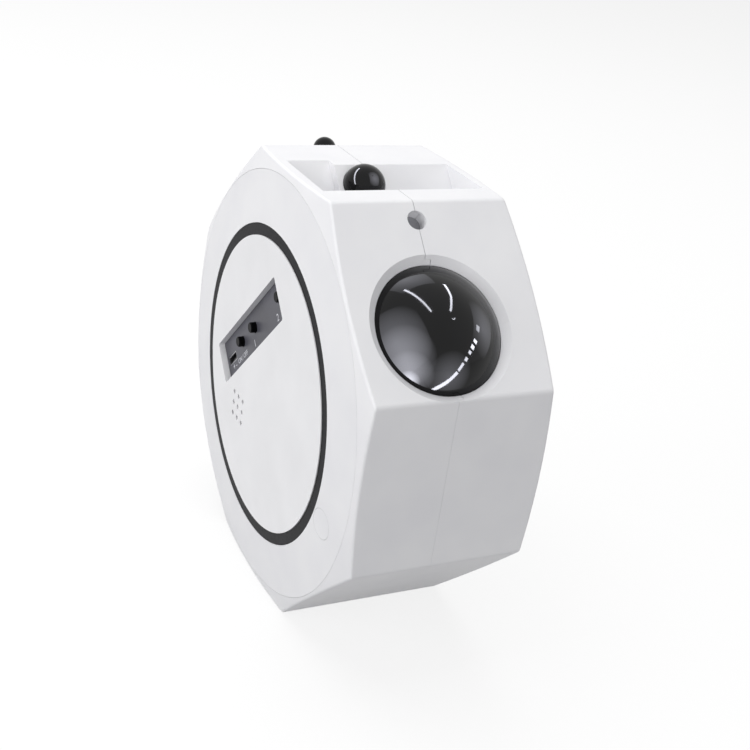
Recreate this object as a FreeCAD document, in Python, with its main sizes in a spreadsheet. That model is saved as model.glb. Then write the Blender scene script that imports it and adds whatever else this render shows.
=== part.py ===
import FreeCAD, Part
import math
import os
import Sketcher
from FreeCAD import Placement, Rotation, Vector

# Planetarium projector: an upright eight-sided wheel that rests on its bottom facet.
# Row frame: +X to the projector's right, -Y to its front, +Z up. The origin is on the
# bottom facet, half way across the width.
# Side frame: u points out of the upper front facet, v out of the upper back facet,
# and w sideways from the seam. All sizes are in millimetres.

DOC = FreeCAD.newDocument("planetarium_projector")
SHEET = DOC.addObject("Spreadsheet::Sheet", "sizes")

DIAGONAL = math.sqrt(0.5)
HALF = 0.5
FULL_TURN = 360
QUARTER_TURN = 90
# A direction counts as along an axis when this share of it is.
ALIGNED_RATIO = 0.9


class Size:
    """A number that also knows the sheet expression that gives it."""

    def __init__(self, value, text):
        self.value = float(value)
        self.text = text

    def __add__(self, other):
        other = as_size(other)
        return Size(self.value + other.value, "(" + self.text + " + " + other.text + ")")

    def __radd__(self, other):
        return as_size(other) + self

    def __sub__(self, other):
        other = as_size(other)
        return Size(self.value - other.value, "(" + self.text + " - " + other.text + ")")

    def __rsub__(self, other):
        return as_size(other) - self

    def __mul__(self, other):
        other = as_size(other)
        return Size(self.value * other.value, "(" + self.text + " * " + other.text + ")")

    def __rmul__(self, other):
        return as_size(other) * self

    def __truediv__(self, other):
        other = as_size(other)
        return Size(self.value / other.value, "(" + self.text + " / " + other.text + ")")

    def __neg__(self):
        return as_size(-1) * self


def as_size(number):
    """Give a plain number the same form as a named size."""
    if isinstance(number, Size):
        return number
    return Size(number, "(" + repr(float(number)) + ")")


def root(square):
    """The square root of a size."""
    return Size(math.sqrt(square.value), "sqrt(" + square.text + ")")


def smaller(first, second):
    """The smaller of two sizes."""
    return Size(min(first.value, second.value), "min(" + first.text + "; " + second.text + ")")


class Sizes:
    """The driving dimensions, one cell of the sheet each."""

    def __init__(self):
        self.row = 0

    def add(self, name, value, meaning):
        self.row += 1
        SHEET.set("A" + str(self.row), meaning)
        SHEET.set("B" + str(self.row), repr(value))
        SHEET.setAlias("B" + str(self.row), name)
        setattr(self, name, Size(value, "sizes." + name))


D = Sizes()
DRIVING = [
    ("across_flats", 150.0, "height, and depth front to back, over the straight facets"),
    ("diagonal_drop", 1.25, "diagonal facets, nearer to the wheel's centre than the straight ones"),
    ("left_width", 27.5, "seam to the left corners of the facets"),
    ("right_width", 33.2, "seam to the right corners of the facets"),
    ("wall", 2.5, "shell wall"),
    ("facet_rounding", 2.2, "rounding between two facets"),
    ("side_rounding", 0.9, "rounding between a facet and the side"),
    ("crown_rise", 2.15, "from the corners of the facets out to the side cover's edge"),
    ("cover_margin", 1.25, "side cover's edge, in from the nearest facets"),
    ("cover_edge", 1.5, "side cover's thickness at its edge"),
    ("cover_rise", 1.55, "side cover's own slope, edge to ring"),
    ("cover_land", 1.6, "thickness of the shell's land under the side cover"),
    ("land_width", 16.5, "width of that land, from the side cover's edge in to the opening"),
    ("step_wall", 1.3, "side cover's wall round the dark ring"),
    ("ring_width", 4.0, "dark ring's width"),
    ("ring_drop", 0.1, "dark ring's face below the side cover's rim"),
    ("ring_seat", 2.5, "depth of the side cover's step that carries ring and disc"),
    ("step_plate", 1.5, "thickness of that step"),
    ("step_width", 3.2, "how far that step reaches in under the disc"),
    ("disc_proud", 0.2, "centre disc's face beyond the side cover's rim"),
    ("fit_gap", 0.1, "clearance between pieces that fit together"),
    ("seam_gap", 0.2, "open seam between the shells"),
    ("lap_depth", 1.25, "depth of the seam's step below the surface"),
    ("lap_reach", 2.0, "how far the left shell's inner lip reaches past the seam"),
    ("dome_inset", 23.0, "main dome's axis, in from the facet's lower corner"),
    ("dome_radius", 20.8, "main dome's outer radius at its rim"),
    ("dome_rise", 10.0, "main dome's top above its rim"),
    ("dome_gap", 0.2, "gap between the main dome's rim and its countersink"),
    ("dome_wall", 1.5, "main dome's wall"),
    ("well_radius", 23.6, "countersink round the main dome, at the facet"),
    ("well_depth", 2.2, "countersink's depth, down to the main dome's rim"),
    ("collar_wall", 3.3, "wall of the collar that holds the main dome, beyond its flange"),
    ("collar_depth", 5.25, "collar's lower face below the facet"),
    ("dome_flange", 22.2, "main dome's flange radius"),
    ("flange_plate", 1.5, "thickness of the domes' flanges"),
    ("eye_inset", 6.6, "receiver eye's axis, in from the facet's upper corner"),
    ("eye_radius", 3.2, "receiver eye's hole"),
    ("eye_depth", 4.5, "depth of the receiver eye"),
    ("eye_ledge", 1.0, "width of the ledge that keeps the eye's window in"),
    ("window_thick", 1.2, "receiver eye's window"),
    ("notch_drop", 25.45, "top notch's ramp below the upper front facet"),
    ("notch_length", 18.27, "top notch's front wall, in from the ramp's open end"),
    ("notch_end", 2.0, "top notch's ends, in from the facets' side edges"),
    ("notch_wall", 2.0, "wall of the notch's tray"),
    ("step_side", 10.6, "left edge of the ramp's raised part, from the seam"),
    ("step_drop", 3.4, "how much lower the left part of the ramp is"),
    ("star_x", -1.9, "star dome's axis to the right of the seam"),
    ("star_inset", 7.9, "star dome's axis, in from the ramp's open end"),
    ("star_radius", 7.0, "star dome's outer radius"),
    ("star_lift", 0.8, "star dome's centre above the ramp"),
    ("star_wall", 1.0, "star dome's wall"),
    ("star_collar", 11.5, "radius of the collar that holds the star dome"),
    ("star_collar_depth", 5.5, "that collar's lower face below the ramp"),
    ("star_flange", 8.1, "star dome's flange radius"),
    ("rear_inset", 9.5, "rear dome's axis, in from the facet's upper corner"),
    ("rear_radius", 4.0, "rear dome's radius"),
    ("rear_reach", 7.7, "rear dome's top above the upper back facet"),
    ("rear_flange", 5.6, "rear dome's flange radius"),
    ("rear_lamp_radius", 3.0, "light behind the rear dome"),
    ("rear_lamp_length", 8.0, "light behind the rear dome"),
    ("recess_front", 29.6, "control recess's front end along u"),
    ("recess_back", 34.5, "control recess's back end, along u the other way"),
    ("recess_low", 12.2, "control recess's lower side along v"),
    ("recess_high", 27.2, "control recess's upper side along v"),
    ("recess_depth", 2.2, "from the disc's face down to the control plate"),
    ("recess_wall", 1.5, "wall and floor of the control recess"),
    ("recess_corner", 0.8, "rounding of the recess's upright corners"),
    ("plate_thick", 0.6, "control plate"),
    ("controls_row", 21.0, "row of the buttons along v"),
    ("socket_row", 19.3, "socket along v"),
    ("socket_place", -28.4, "socket along u"),
    ("power_place", -15.0, "power button along u"),
    ("light_place", -0.9, "light button along u"),
    ("mode_place", 27.2, "mode button along u"),
    ("button_radius", 1.85, "button cap"),
    ("button_chamfer", 0.3, "slope round a button's top"),
    ("button_proud", 2.1, "button cap above the control plate"),
    ("button_travel", 0.6, "how far a button goes in"),
    ("button_gap", 0.15, "gap round a button"),
    ("button_flange", 2.65, "radius of the flange that keeps a button in"),
    ("button_flange_plate", 0.8, "thickness of that flange"),
    ("stem_radius", 1.0, "button's stem"),
    ("stem_gap", 0.08, "running clearance of stems and shafts"),
    ("switch_side", 6.0, "push switch, square"),
    ("switch_height", 3.5, "push switch's height"),
    ("switch_drop", 1.6, "push switch's top below the recess's floor"),
    ("stem_reach", 1.0, "how far a stem goes into its switch"),
    ("board_thick", 1.6, "circuit boards"),
    ("board_front", 34.0, "main board's front edge along u"),
    ("board_back", 38.0, "main board's back edge, along u the other way"),
    ("board_low", 24.0, "main board's lower edge, along v the other way"),
    ("board_high", 26.0, "main board's upper edge along v"),
    ("post_radius", 2.6, "posts that carry the main board"),
    ("sound_y", 19.5, "sound holes' centre behind the wheel's centre"),
    ("sound_z", 18.9, "sound holes' centre below the wheel's centre"),
    ("sound_pitch", 4.25, "distance between sound holes"),
    ("sound_hole", 0.9, "sound hole's radius"),
    ("speaker_radius", 10.0, "speaker frame"),
    ("speaker_height", 4.5, "speaker frame's depth"),
    ("speaker_wall", 1.0, "speaker frame's wall and back"),
    ("speaker_rim", 2.0, "height of the rim round the speaker"),
    ("magnet_radius", 5.0, "speaker's magnet"),
    ("magnet_height", 2.5, "speaker's magnet"),
    ("magnet_proud", 0.5, "speaker's magnet, out behind the frame"),
    ("cone_sheet", 0.6, "speaker cone's thickness"),
    ("plug_inset", 4.3, "screw plug's centre, out from the side opening"),
    ("plug_radius", 5.0, "screw plug"),
    ("plug_floor", 0.8, "side cover left under the screw's head"),
    ("cover_head", 0.95, "height of the cover screw's flat head"),
    ("socket_long", 8.6, "socket's mouth along u"),
    ("socket_short", 3.2, "socket's mouth along v"),
    ("socket_sheet", 0.35, "socket's sheet metal"),
    ("tongue_long", 6.5, "socket's tongue along u"),
    ("tongue_thick", 0.7, "socket's tongue"),
    ("tongue_drop", 1.0, "socket's tongue, in from the mouth"),
    ("frame_plate", 2.0, "optics frame's thickness"),
    ("frame_side_gap", 0.55, "optics frame's sides, in from the shells"),
    ("frame_margin", 1.2, "optics frame past the wheel motor"),
    ("frame_room", 4.0, "optics frame's upper edge, in front of the notch's tray"),
    ("pillar_inset", 3.5, "pillars, in from the optics frame's edges"),
    ("pillar_radius", 3.0, "pillars that carry the optics frame"),
    ("axle_boss", 2.5, "boss of the cloud wheel's axle, below the optics frame"),
    ("cell_radius", 9.1, "bore of the condenser's cell"),
    ("cell_wall", 1.9, "wall of the condenser's cell"),
    ("cell_height", 6.5, "condenser's cell below the optics frame"),
    ("cell_ledge", 1.0, "ledge that keeps the condenser lens in"),
    ("condenser_thick", 5.3, "condenser lens"),
    ("condenser_lift", 1.8, "condenser lens above the lamp board"),
    ("condenser_curve", 10.1, "condenser lens's curve"),
    ("lamp_thick", 1.6, "lamp board"),
    ("emitter_side", 3.4, "light emitter, square"),
    ("emitter_pitch", 4.55, "distance between light emitters"),
    ("emitter_height", 0.8, "light emitter's height"),
    ("sink_side", 20.0, "heat sink, square"),
    ("sink_height", 14.0, "heat sink"),
    ("sink_base", 3.5, "heat sink's base"),
    ("fin_thick", 1.2, "heat sink's fins"),
    ("wheel_x", 2.0, "cloud wheel's axle to the right of the seam"),
    ("wheel_offset", 14.0, "cloud wheel's axle, from the main dome's axis along v"),
    ("gear_module", 1.0, "tooth size of wheel and pinion"),
    ("wheel_thick", 2.0, "cloud wheel's rim"),
    ("wheel_lift", 1.9, "cloud wheel's rim above the optics frame"),
    ("rim_width", 2.35, "cloud wheel's rim, below its teeth"),
    ("spoke_width", 2.0, "cloud wheel's spokes"),
    ("hub_radius", 4.0, "cloud wheel's hub"),
    ("hub_height", 5.2, "cloud wheel's hub"),
    ("axle_radius", 1.5, "cloud wheel's axle"),
    ("axle_gap", 0.8, "lens barrel above the cloud wheel's axle"),
    ("axle_tip", 0.3, "axle beyond its clip"),
    ("clip_thick", 0.7, "axle's clip"),
    ("clip_radius", 3.0, "axle's clip"),
    ("film_thick", 1.2, "nebula disc"),
    ("film_lap", 1.0, "how far the nebula disc reaches under the rim"),
    ("shaft_radius", 1.0, "wheel motor's shaft"),
    ("shaft_depth", 5.0, "how far a shaft goes into its motor"),
    ("motor_wide", 12.0, "wheel motor's width"),
    ("motor_deep", 10.0, "wheel motor's depth"),
    ("gearbox_height", 9.0, "wheel motor's gearbox"),
    ("motor_height", 15.0, "wheel motor's can"),
    ("barrel_length", 7.6, "lens barrel below its flange"),
    ("barrel_bore", 14.3, "lens barrel's bore"),
    ("barrel_wall", 2.2, "lens barrel's wall"),
    ("barrel_ledge", 1.3, "ledge that carries the projection lens"),
    ("lens_thick", 5.0, "projection lens"),
    ("lens_curve", 22.3, "projection lens's curve"),
    ("bracket_plate", 2.0, "laser bracket's thickness"),
    ("bracket_margin", 1.0, "laser bracket past its posts"),
    ("bracket_post_left", 15.6, "laser bracket's left posts, from the seam"),
    ("bracket_post_right", 26.0, "laser bracket's right post, from the seam"),
    ("bracket_post_spread", 5.8, "left posts either side of the star dome's axis"),
    ("bracket_post", 2.4, "radius of the laser bracket's posts"),
    ("laser_radius", 4.0, "laser barrel"),
    ("laser_length", 15.5, "laser barrel"),
    ("laser_mouth", 2.0, "radius of the laser's mouth"),
    ("laser_mouth_depth", 3.0, "depth of the laser's mouth"),
    ("laser_gap", 0.75, "grating wheel above the laser"),
    ("grating_step", 10.0, "grating wheel's axis to the right of the laser"),
    ("grating_radius", 12.5, "grating wheel"),
    ("grating_thick", 1.5, "grating wheel"),
    ("grating_lift", 2.1, "grating wheel above the laser bracket"),
    ("grating_gap", 1.2, "clamp screws above the grating wheel"),
    ("grating_hub", 2.25, "grating wheel's hub radius"),
    ("grating_hub_height", 1.5, "grating wheel's hub"),
    ("grating_hole", 1.75, "radius of the bracket's hole for the grating's shaft"),
    ("grating_shaft", 0.75, "grating motor's shaft"),
    ("small_motor", 5.0, "grating motor's radius"),
    ("small_motor_length", 12.0, "grating motor"),
    ("screw_radius", 1.3, "shank of the frame and shell screws"),
    ("screw_head", 2.5, "head of the frame and shell screws"),
    ("head_height", 1.6, "height of those heads"),
    ("small_screw", 1.0, "shank of the small screws"),
    ("small_head", 1.6, "head of the small screws"),
    ("small_head_height", 1.2, "height of the small heads"),
    ("flat_head", 0.5, "height of the clamp screws' flat heads"),
    ("screw_bite", 7.5, "how far the frame and cover screws go into plastic"),
    ("small_bite", 3.0, "how far the small screws go into their posts"),
    ("collar_bite", 1.9, "how far the small screws go into the domes' collars"),
    ("tip_room", 0.5, "room beyond a screw's tip"),
    ("blind_end", 1.0, "closed end of the plug's boss"),
    ("boss_radius", 3.6, "shell screws' bosses"),
    ("screw_inset", 5.0, "shell screws, in from the side cover's edge"),
]
for sheet_name, sheet_value, sheet_meaning in DRIVING:
    D.add(sheet_name, sheet_value, sheet_meaning)
DOC.recompute()

# Counts, angles in degrees and shares of a tooth are not lengths, so they stay outside the sheet.
WHEEL_TEETH = 48
PINION_TEETH = 12
SOUND_HOLES = 3
SINK_FINS = 6
WHEEL_SPOKES = 3
DOME_SCREWS = 3
CLAMP_ANGLES = (45, 225)
SHELL_SCREW_ANGLES = (173, -112, -53, 40)
PLUG_ANGLE = 19.7
# A tooth's height and root depth in modules, and half its width at tip and foot in pitches.
TOOTH_HEIGHT = 0.9
TOOTH_ROOT = 1.15
TOOTH_TIP = 0.14
TOOTH_FOOT = 0.30

# Board posts along u and v, the last one under the recess.
BOARD_POSTS = [(-20.0, -20.0), (28.0, -18.0), (8.5, 19.5)]
# Circuit parts on the main board: along u, v, then length, width and height.
CIRCUIT_PARTS = [(14.0, -4.0, 9.0, 9.0, 1.6), (-3.0, -12.0, 6.0, 5.0, 1.4), (-30.0, -17.0, 7.0, 4.0, 2.2),
                 (30.0, 6.0, 4.0, 6.0, 2.0)]

# A cut runs past what it opens, and joined shapes run into each other, by these shares of the wall.
PAST = D.wall * 0.4
INTO = D.wall * 0.2

# Lengths that follow from the driving dimensions: first the wheel's outline and its sides.
HALF_HEIGHT = D.across_flats * HALF
HALF_DIAGONAL = HALF_HEIGHT - D.diagonal_drop
CORNER = HALF_DIAGONAL / DIAGONAL - HALF_HEIGHT
FACET_END = HALF_HEIGHT / DIAGONAL - HALF_DIAGONAL
CORNER_RADIUS = root(HALF_HEIGHT * HALF_HEIGHT + CORNER * CORNER)
COVER_RADIUS = smaller(HALF_HEIGHT, HALF_DIAGONAL) - D.cover_margin
SIDE_OPENING = COVER_RADIUS - D.land_width
RING_OUTER = SIDE_OPENING - D.step_wall
RING_INNER = RING_OUTER - D.ring_width
STEP_OPENING = RING_INNER - D.step_width
SCREW_CIRCLE = COVER_RADIUS - D.screw_inset
RIM = D.crown_rise + D.cover_rise
LEFT_FACE = D.left_width + RIM
RIGHT_FACE = D.right_width + RIM
LEFT_SEAT = D.left_width + D.crown_rise - D.cover_edge
RIGHT_SEAT = D.right_width + D.crown_rise - D.cover_edge
LEFT_INSIDE = LEFT_SEAT - D.cover_land
RIGHT_INSIDE = RIGHT_SEAT - D.cover_land
SEAM_X = (LEFT_FACE - RIGHT_FACE) * HALF
# Far enough out to clear the whole wheel.
BEYOND = D.wall * 2 + PAST

# The main dome and the optics under it, downwards along u.
DOME_V = D.dome_inset - FACET_END
DOME_RIM = HALF_DIAGONAL - D.well_depth
DOME_HOLE = D.dome_radius + D.dome_gap
COLLAR_RADIUS = D.dome_flange + D.collar_wall
COLLAR_LOW = HALF_DIAGONAL - D.collar_depth
DOME_FLANGE_LOW = COLLAR_LOW - D.flange_plate - D.fit_gap * HALF
BARREL_TOP = DOME_FLANGE_LOW - D.fit_gap * HALF
BARREL_FLANGE_LOW = BARREL_TOP - D.flange_plate
BARREL_LOW = BARREL_FLANGE_LOW - D.barrel_length
AXLE_TOP = BARREL_LOW - D.axle_gap
CLIP_LOW = AXLE_TOP - D.axle_tip - D.clip_thick
HUB_TOP = CLIP_LOW - D.fit_gap
HUB_LOW = HUB_TOP - D.hub_height
FRAME_TOP = HUB_LOW - D.fit_gap * 2
FRAME_LOW = FRAME_TOP - D.frame_plate
RIM_LOW = FRAME_TOP + D.wheel_lift
RIM_HIGH = RIM_LOW + D.wheel_thick
CELL_LOW = FRAME_LOW - D.cell_height
DOME_SCREW_CIRCLE = (D.dome_flange + COLLAR_RADIUS) * HALF
EYE_V = FACET_END - D.eye_inset
EYE_FLOOR = HALF_DIAGONAL - D.eye_depth
REAR_U = FACET_END - D.rear_inset

# The top notch, the star dome and the laser under it, downwards along u.
NOTCH_RAMP = HALF_DIAGONAL - D.notch_drop
RAMP_END = HALF_HEIGHT / DIAGONAL - NOTCH_RAMP
NOTCH_FRONT = RAMP_END - D.notch_length
NOTCH_LEFT = D.left_width - D.notch_end
NOTCH_RIGHT = D.right_width - D.notch_end
STAR_V = RAMP_END - D.star_inset
STAR_CENTRE = NOTCH_RAMP + D.star_lift
STAR_COLLAR_LOW = NOTCH_RAMP - D.star_collar_depth
STAR_FLANGE_LOW = STAR_COLLAR_LOW - D.flange_plate - D.fit_gap * HALF
CLAMP_TOP = STAR_FLANGE_LOW - D.fit_gap * HALF
CLAMP_LOW = CLAMP_TOP - D.flange_plate
CLAMP_CIRCLE = (D.star_flange + D.star_collar) * HALF
GRATING_TOP = CLAMP_LOW - D.flat_head - D.grating_gap
GRATING_LOW = GRATING_TOP - D.grating_thick
BRACKET_TOP = GRATING_LOW - D.grating_lift
BRACKET_LOW = BRACKET_TOP - D.bracket_plate
GRATING_X = D.star_x + D.grating_step

# The cloud wheel, its pinion and the optics frame's edges.
WHEEL_PITCH = D.gear_module * (WHEEL_TEETH * HALF)
PINION_PITCH = D.gear_module * (PINION_TEETH * HALF)
RIM_INNER = WHEEL_PITCH - D.gear_module * TOOTH_ROOT - D.rim_width
WHEEL_V = DOME_V + D.wheel_offset
PINION_V = WHEEL_V - WHEEL_PITCH - PINION_PITCH
FRAME_LEFT = -LEFT_INSIDE + D.frame_side_gap
FRAME_RIGHT = RIGHT_INSIDE - D.frame_side_gap
FRAME_BOTTOM = PINION_V - D.motor_deep * HALF - D.frame_margin
FRAME_TIP = NOTCH_FRONT - D.notch_wall - D.frame_room

# The control disc and what is behind it, inwards from its face.
DISC_FACE = LEFT_FACE + D.disc_proud
DISC_UNDER = LEFT_FACE - D.ring_seat
PLATE_FACE = DISC_FACE - D.recess_depth
RECESS_FLOOR = PLATE_FACE - D.plate_thick
RECESS_UNDER = RECESS_FLOOR - D.recess_wall
SWITCH_TOP = RECESS_UNDER - D.switch_drop
BOARD_TOP = SWITCH_TOP - D.switch_height
BOARD_LOW = BOARD_TOP - D.board_thick
SOCKET_TOP = PLATE_FACE - D.fit_gap
SPEAKER_U = -(D.sound_y + D.sound_z) * DIAGONAL
SPEAKER_V = (D.sound_y - D.sound_z) * DIAGONAL
SPEAKER_TOP = DISC_UNDER - D.fit_gap
SPEAKER_LOW = SPEAKER_TOP - D.speaker_height
SHELL_THREAD_END = RIGHT_INSIDE - D.wall * 2


def bind(thing, prop, size):
    """Set a property from a size, and tie it to the sheet."""
    size = as_size(size)
    if "." not in prop:
        setattr(thing, prop, size.value)
    thing.setExpression(prop, size.text)


class Frame:
    """Three directions from the wheel's centre, on the seam."""

    def __init__(self, first, second, third):
        self.axes = (first, second, third)
        self.rotation = Rotation(Vector(*first), Vector(*second), Vector(*third), "ZXY")

    def place(self, thing, a=0, b=0, c=0):
        """Put a piece at a, b, c along the three directions."""
        steps = [as_size(a), as_size(b), as_size(c)]
        base = [SEAM_X, as_size(0), HALF_HEIGHT]
        for row in range(3):
            for step, axis in zip(steps, self.axes):
                if axis[row] and step.value:
                    base[row] = base[row] + step * axis[row]
        thing.Placement = Placement(Vector(*[part.value for part in base]), self.rotation)
        for letter, part in zip("xyz", base):
            thing.setExpression("Placement.Base." + letter, part.text)
        return thing


ALONG_X = (1, 0, 0)
AGAINST_X = (-1, 0, 0)
ALONG_U = (0, -DIAGONAL, DIAGONAL)
ALONG_V = (0, DIAGONAL, DIAGONAL)
OPTICS = Frame(ALONG_X, ALONG_V, ALONG_U)
REAR = Frame(AGAINST_X, ALONG_U, ALONG_V)
LEFT = Frame(ALONG_U, ALONG_V, AGAINST_X)
RIGHT = Frame(ALONG_V, ALONG_U, ALONG_X)
UPRIGHT_LEFT = Frame((0, 0, 1), (0, 1, 0), AGAINST_X)
UPRIGHT_RIGHT = Frame((0, 1, 0), (0, 0, 1), ALONG_X)

USED_NAMES = {}


def new(kind, name):
    """Make a document object whose label is its name, numbered if the name is taken."""
    USED_NAMES[name] = USED_NAMES.get(name, 0) + 1
    if USED_NAMES[name] > 1:
        name = name + "_" + str(USED_NAMES[name])
    thing = DOC.addObject(kind, name)
    thing.Label = name
    return thing


def cylinder(name, frame, radius, low, high, a=0, b=0):
    """A cylinder along the frame's third direction, from low to high."""
    rod = new("Part::Cylinder", name)
    bind(rod, "Radius", radius)
    bind(rod, "Height", high - low)
    return frame.place(rod, a, b, low)


def cone(name, frame, low_radius, high_radius, low, high, a=0, b=0):
    """A cone along the frame's third direction."""
    taper = new("Part::Cone", name)
    bind(taper, "Radius1", low_radius)
    bind(taper, "Radius2", high_radius)
    bind(taper, "Height", high - low)
    return frame.place(taper, a, b, low)


def ball(name, frame, radius, a, b, c, upper=False):
    """A ball, or its upper half."""
    sphere = new("Part::Sphere", name)
    bind(sphere, "Radius", radius)
    if upper:
        sphere.Angle1 = 0
    return frame.place(sphere, a, b, c)


def block(name, frame, a, b, c):
    """A block; a, b and c are each (low, high) along the frame's directions."""
    box = new("Part::Box", name)
    spans = [(as_size(low), as_size(high)) for low, high in (a, b, c)]
    for prop, (low, high) in zip(("Length", "Width", "Height"), spans):
        bind(box, prop, high - low)
    return frame.place(box, *[low for low, high in spans])


def about(centre, width):
    """The (low, high) of a width that is centred on a place."""
    return (centre - width * HALF, centre + width * HALF)


def on_circle(radius, degrees):
    """The two steps from a circle's centre to a place on it."""
    angle = math.radians(degrees)
    return (radius * math.cos(angle), radius * math.sin(angle))


def fuse(name, *pieces):
    """One piece made of several."""
    joined = new("Part::MultiFuse", name)
    joined.Shapes = list(pieces)
    return joined


def common(name, *pieces):
    """What several pieces share."""
    shared = new("Part::MultiCommon", name)
    shared.Shapes = list(pieces)
    return shared


def cut(name, base, *tools):
    """A piece with others taken out of it."""
    result = new("Part::Cut", name)
    result.Base = base
    result.Tool = tools[0] if len(tools) == 1 else fuse(name + "_cuts", *tools)
    return result


def group(name, pieces):
    """Like pieces that stay separate solids."""
    together = new("Part::Compound", name)
    together.Links = list(pieces)
    return together


def sketch_polygon(body, role, name, corners):
    """A closed outline in a body's own plane, every corner held by two dimensions."""
    sketch = body.newObject("Sketcher::SketchObject", name)
    plane = next(item for item in body.Origin.OriginFeatures if item.Role == role)
    sketch.AttachmentSupport = (plane, [""])
    sketch.MapMode = "FlatFace"
    points = [(as_size(a), as_size(b)) for a, b in corners]
    spots = [Vector(a.value, b.value, 0) for a, b in points]
    for index, spot in enumerate(spots):
        sketch.addGeometry(Part.LineSegment(spot, spots[(index + 1) % len(spots)]), False)
    for index in range(len(spots)):
        following = (index + 1) % len(spots)
        sketch.addConstraint(Sketcher.Constraint("Coincident", index, 2, following, 1))
    for index, point in enumerate(points):
        for kind, axis, size in (("DistanceX", -2, point[0]), ("DistanceY", -1, point[1])):
            if size.value == 0:
                sketch.addConstraint(Sketcher.Constraint("PointOnObject", index, 1, axis))
            else:
                number = sketch.addConstraint(Sketcher.Constraint(kind, -1, 1, index, 1, size.value))
                sketch.setExpression("Constraints[" + str(number) + "]", size.text)
    return sketch


def turned(name, frame, corners, a=0, b=0, c=0):
    """A body turned about the frame's third direction; corners are (radius, height)."""
    body = new("PartDesign::Body", name)
    sketch = sketch_polygon(body, "XZ_Plane", name + "_profile", corners)
    turn = body.newObject("PartDesign::Revolution", name + "_turn")
    turn.Profile = sketch
    turn.ReferenceAxis = (sketch, ["V_Axis"])
    turn.Angle = FULL_TURN
    return frame.place(body, a, b, c)


def octagon(inset):
    """The wheel's eight corners, its facets moved in by the inset."""
    straight = HALF_HEIGHT - inset
    corner = (HALF_DIAGONAL - inset) / DIAGONAL - straight
    quarter = [(straight, corner), (corner, straight)]
    corners = []
    for across, up in ((1, 1), (-1, 1), (-1, -1), (1, -1)):
        turn = quarter if across * up > 0 else quarter[::-1]
        corners += [(first * across, second * up) for first, second in turn]
    return corners


def prism(name, inset, left, right, rounding=None):
    """An eight-sided block from left of the seam to right of it."""
    body = new("PartDesign::Body", name)
    sketch = sketch_polygon(body, "XY_Plane", name + "_outline", octagon(inset))
    pad = body.newObject("PartDesign::Pad", name + "_pad")
    pad.Profile = sketch
    bind(pad, "Length", left + right)
    if rounding is not None:
        DOC.recompute()
        long_edges = ["Edge" + str(number + 1) for number, edge in enumerate(pad.Shape.Edges)
                      if abs(edge.tangentAt(edge.FirstParameter).z) > ALIGNED_RATIO]
        soft = body.newObject("PartDesign::Fillet", name + "_rounding")
        soft.Base = (pad, long_edges)
        bind(soft, "Radius", rounding)
    return UPRIGHT_RIGHT.place(body, c=-left)


def screw(name, frame, shank, head, head_height, seat, reach, a, b):
    """A screw whose head's inner face is on the seat; it reaches along the frame's third direction."""
    top = cylinder(name + "_head", frame, head, seat - head_height, seat, a, b)
    thread = cylinder(name + "_shank", frame, shank, seat, seat + reach, a, b)
    return fuse(name, top, thread)


def screw_hole(name, frame, shank, mouth, bite, a, b):
    """A screw's hole in plastic, from its mouth to a little beyond the screw's tip."""
    return cylinder(name, frame, shank + D.fit_gap * HALF, mouth - PAST, mouth + bite + D.tip_room, a, b)


def dome(name, frame, radius, wall, flange, centre, flange_low, a, b):
    """A hollow dome with a skirt and a flange below it."""
    outside = fuse(name + "_outside",
                   ball(name + "_ball", frame, radius, a, b, centre, upper=True),
                   cylinder(name + "_skirt", frame, radius, flange_low, centre, a, b),
                   cylinder(name + "_flange", frame, flange, flange_low, flange_low + D.flange_plate, a, b))
    inside = fuse(name + "_inside",
                  ball(name + "_hollow", frame, radius - wall, a, b, centre, upper=True),
                  cylinder(name + "_bore", frame, radius - wall, flange_low, centre, a, b))
    return cut(name, outside, inside)


def cap(name, frame, rim, rise, wall, flange, rim_at, flange_low, a, b):
    """A shallow hollow cap with a skirt and a flange below it."""
    curve = (rim * rim + rise * rise) / (rise * 2)
    top = rim_at + rise
    centre = top - curve
    crown = common(name + "_crown",
                   ball(name + "_ball", frame, curve, a, b, centre, upper=True),
                   cylinder(name + "_skirt", frame, rim, flange_low, top, a, b))
    outside = fuse(name + "_outside", crown,
                   cylinder(name + "_flange", frame, flange, flange_low, flange_low + D.flange_plate, a, b))
    inside = common(name + "_inside",
                    ball(name + "_hollow", frame, curve - wall, a, b, centre, upper=True),
                    cylinder(name + "_bore", frame, rim - wall, flange_low - PAST, top, a, b))
    return cut(name, outside, inside)


def lens(name, frame, radius, thickness, curve, low, a, b):
    """A lens, flat below and curved above."""
    edge = cylinder(name + "_edge", frame, radius, low, low + thickness, a, b)
    curved = ball(name + "_curve", frame, curve, a, b, low + thickness - curve)
    return common(name, edge, curved)


def toothed(name, frame, teeth, low, high, a, b, turn=0.0):
    """A gear blank with straight-sided teeth, its first tooth turned by an angle in degrees."""
    module = D.gear_module.value
    pitch = module * teeth * HALF
    outer = pitch + module * TOOTH_HEIGHT
    inner = pitch - module * TOOTH_ROOT
    flanks = ((-TOOTH_FOOT, inner), (-TOOTH_TIP, outer), (TOOTH_TIP, outer), (TOOTH_FOOT, inner))
    corners = []
    for number in range(teeth):
        for side, radius in flanks:
            across, along = on_circle(radius, turn + FULL_TURN * (number + side) / teeth)
            corners.append(Vector(across, along, 0))
    face = Part.Face(Part.makePolygon(corners + corners[:1]))
    blank = new("Part::Feature", name)
    blank.Shape = face.extrude(Vector(0, 0, (high - low).value))
    return frame.place(blank, a, b, low)


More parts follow.
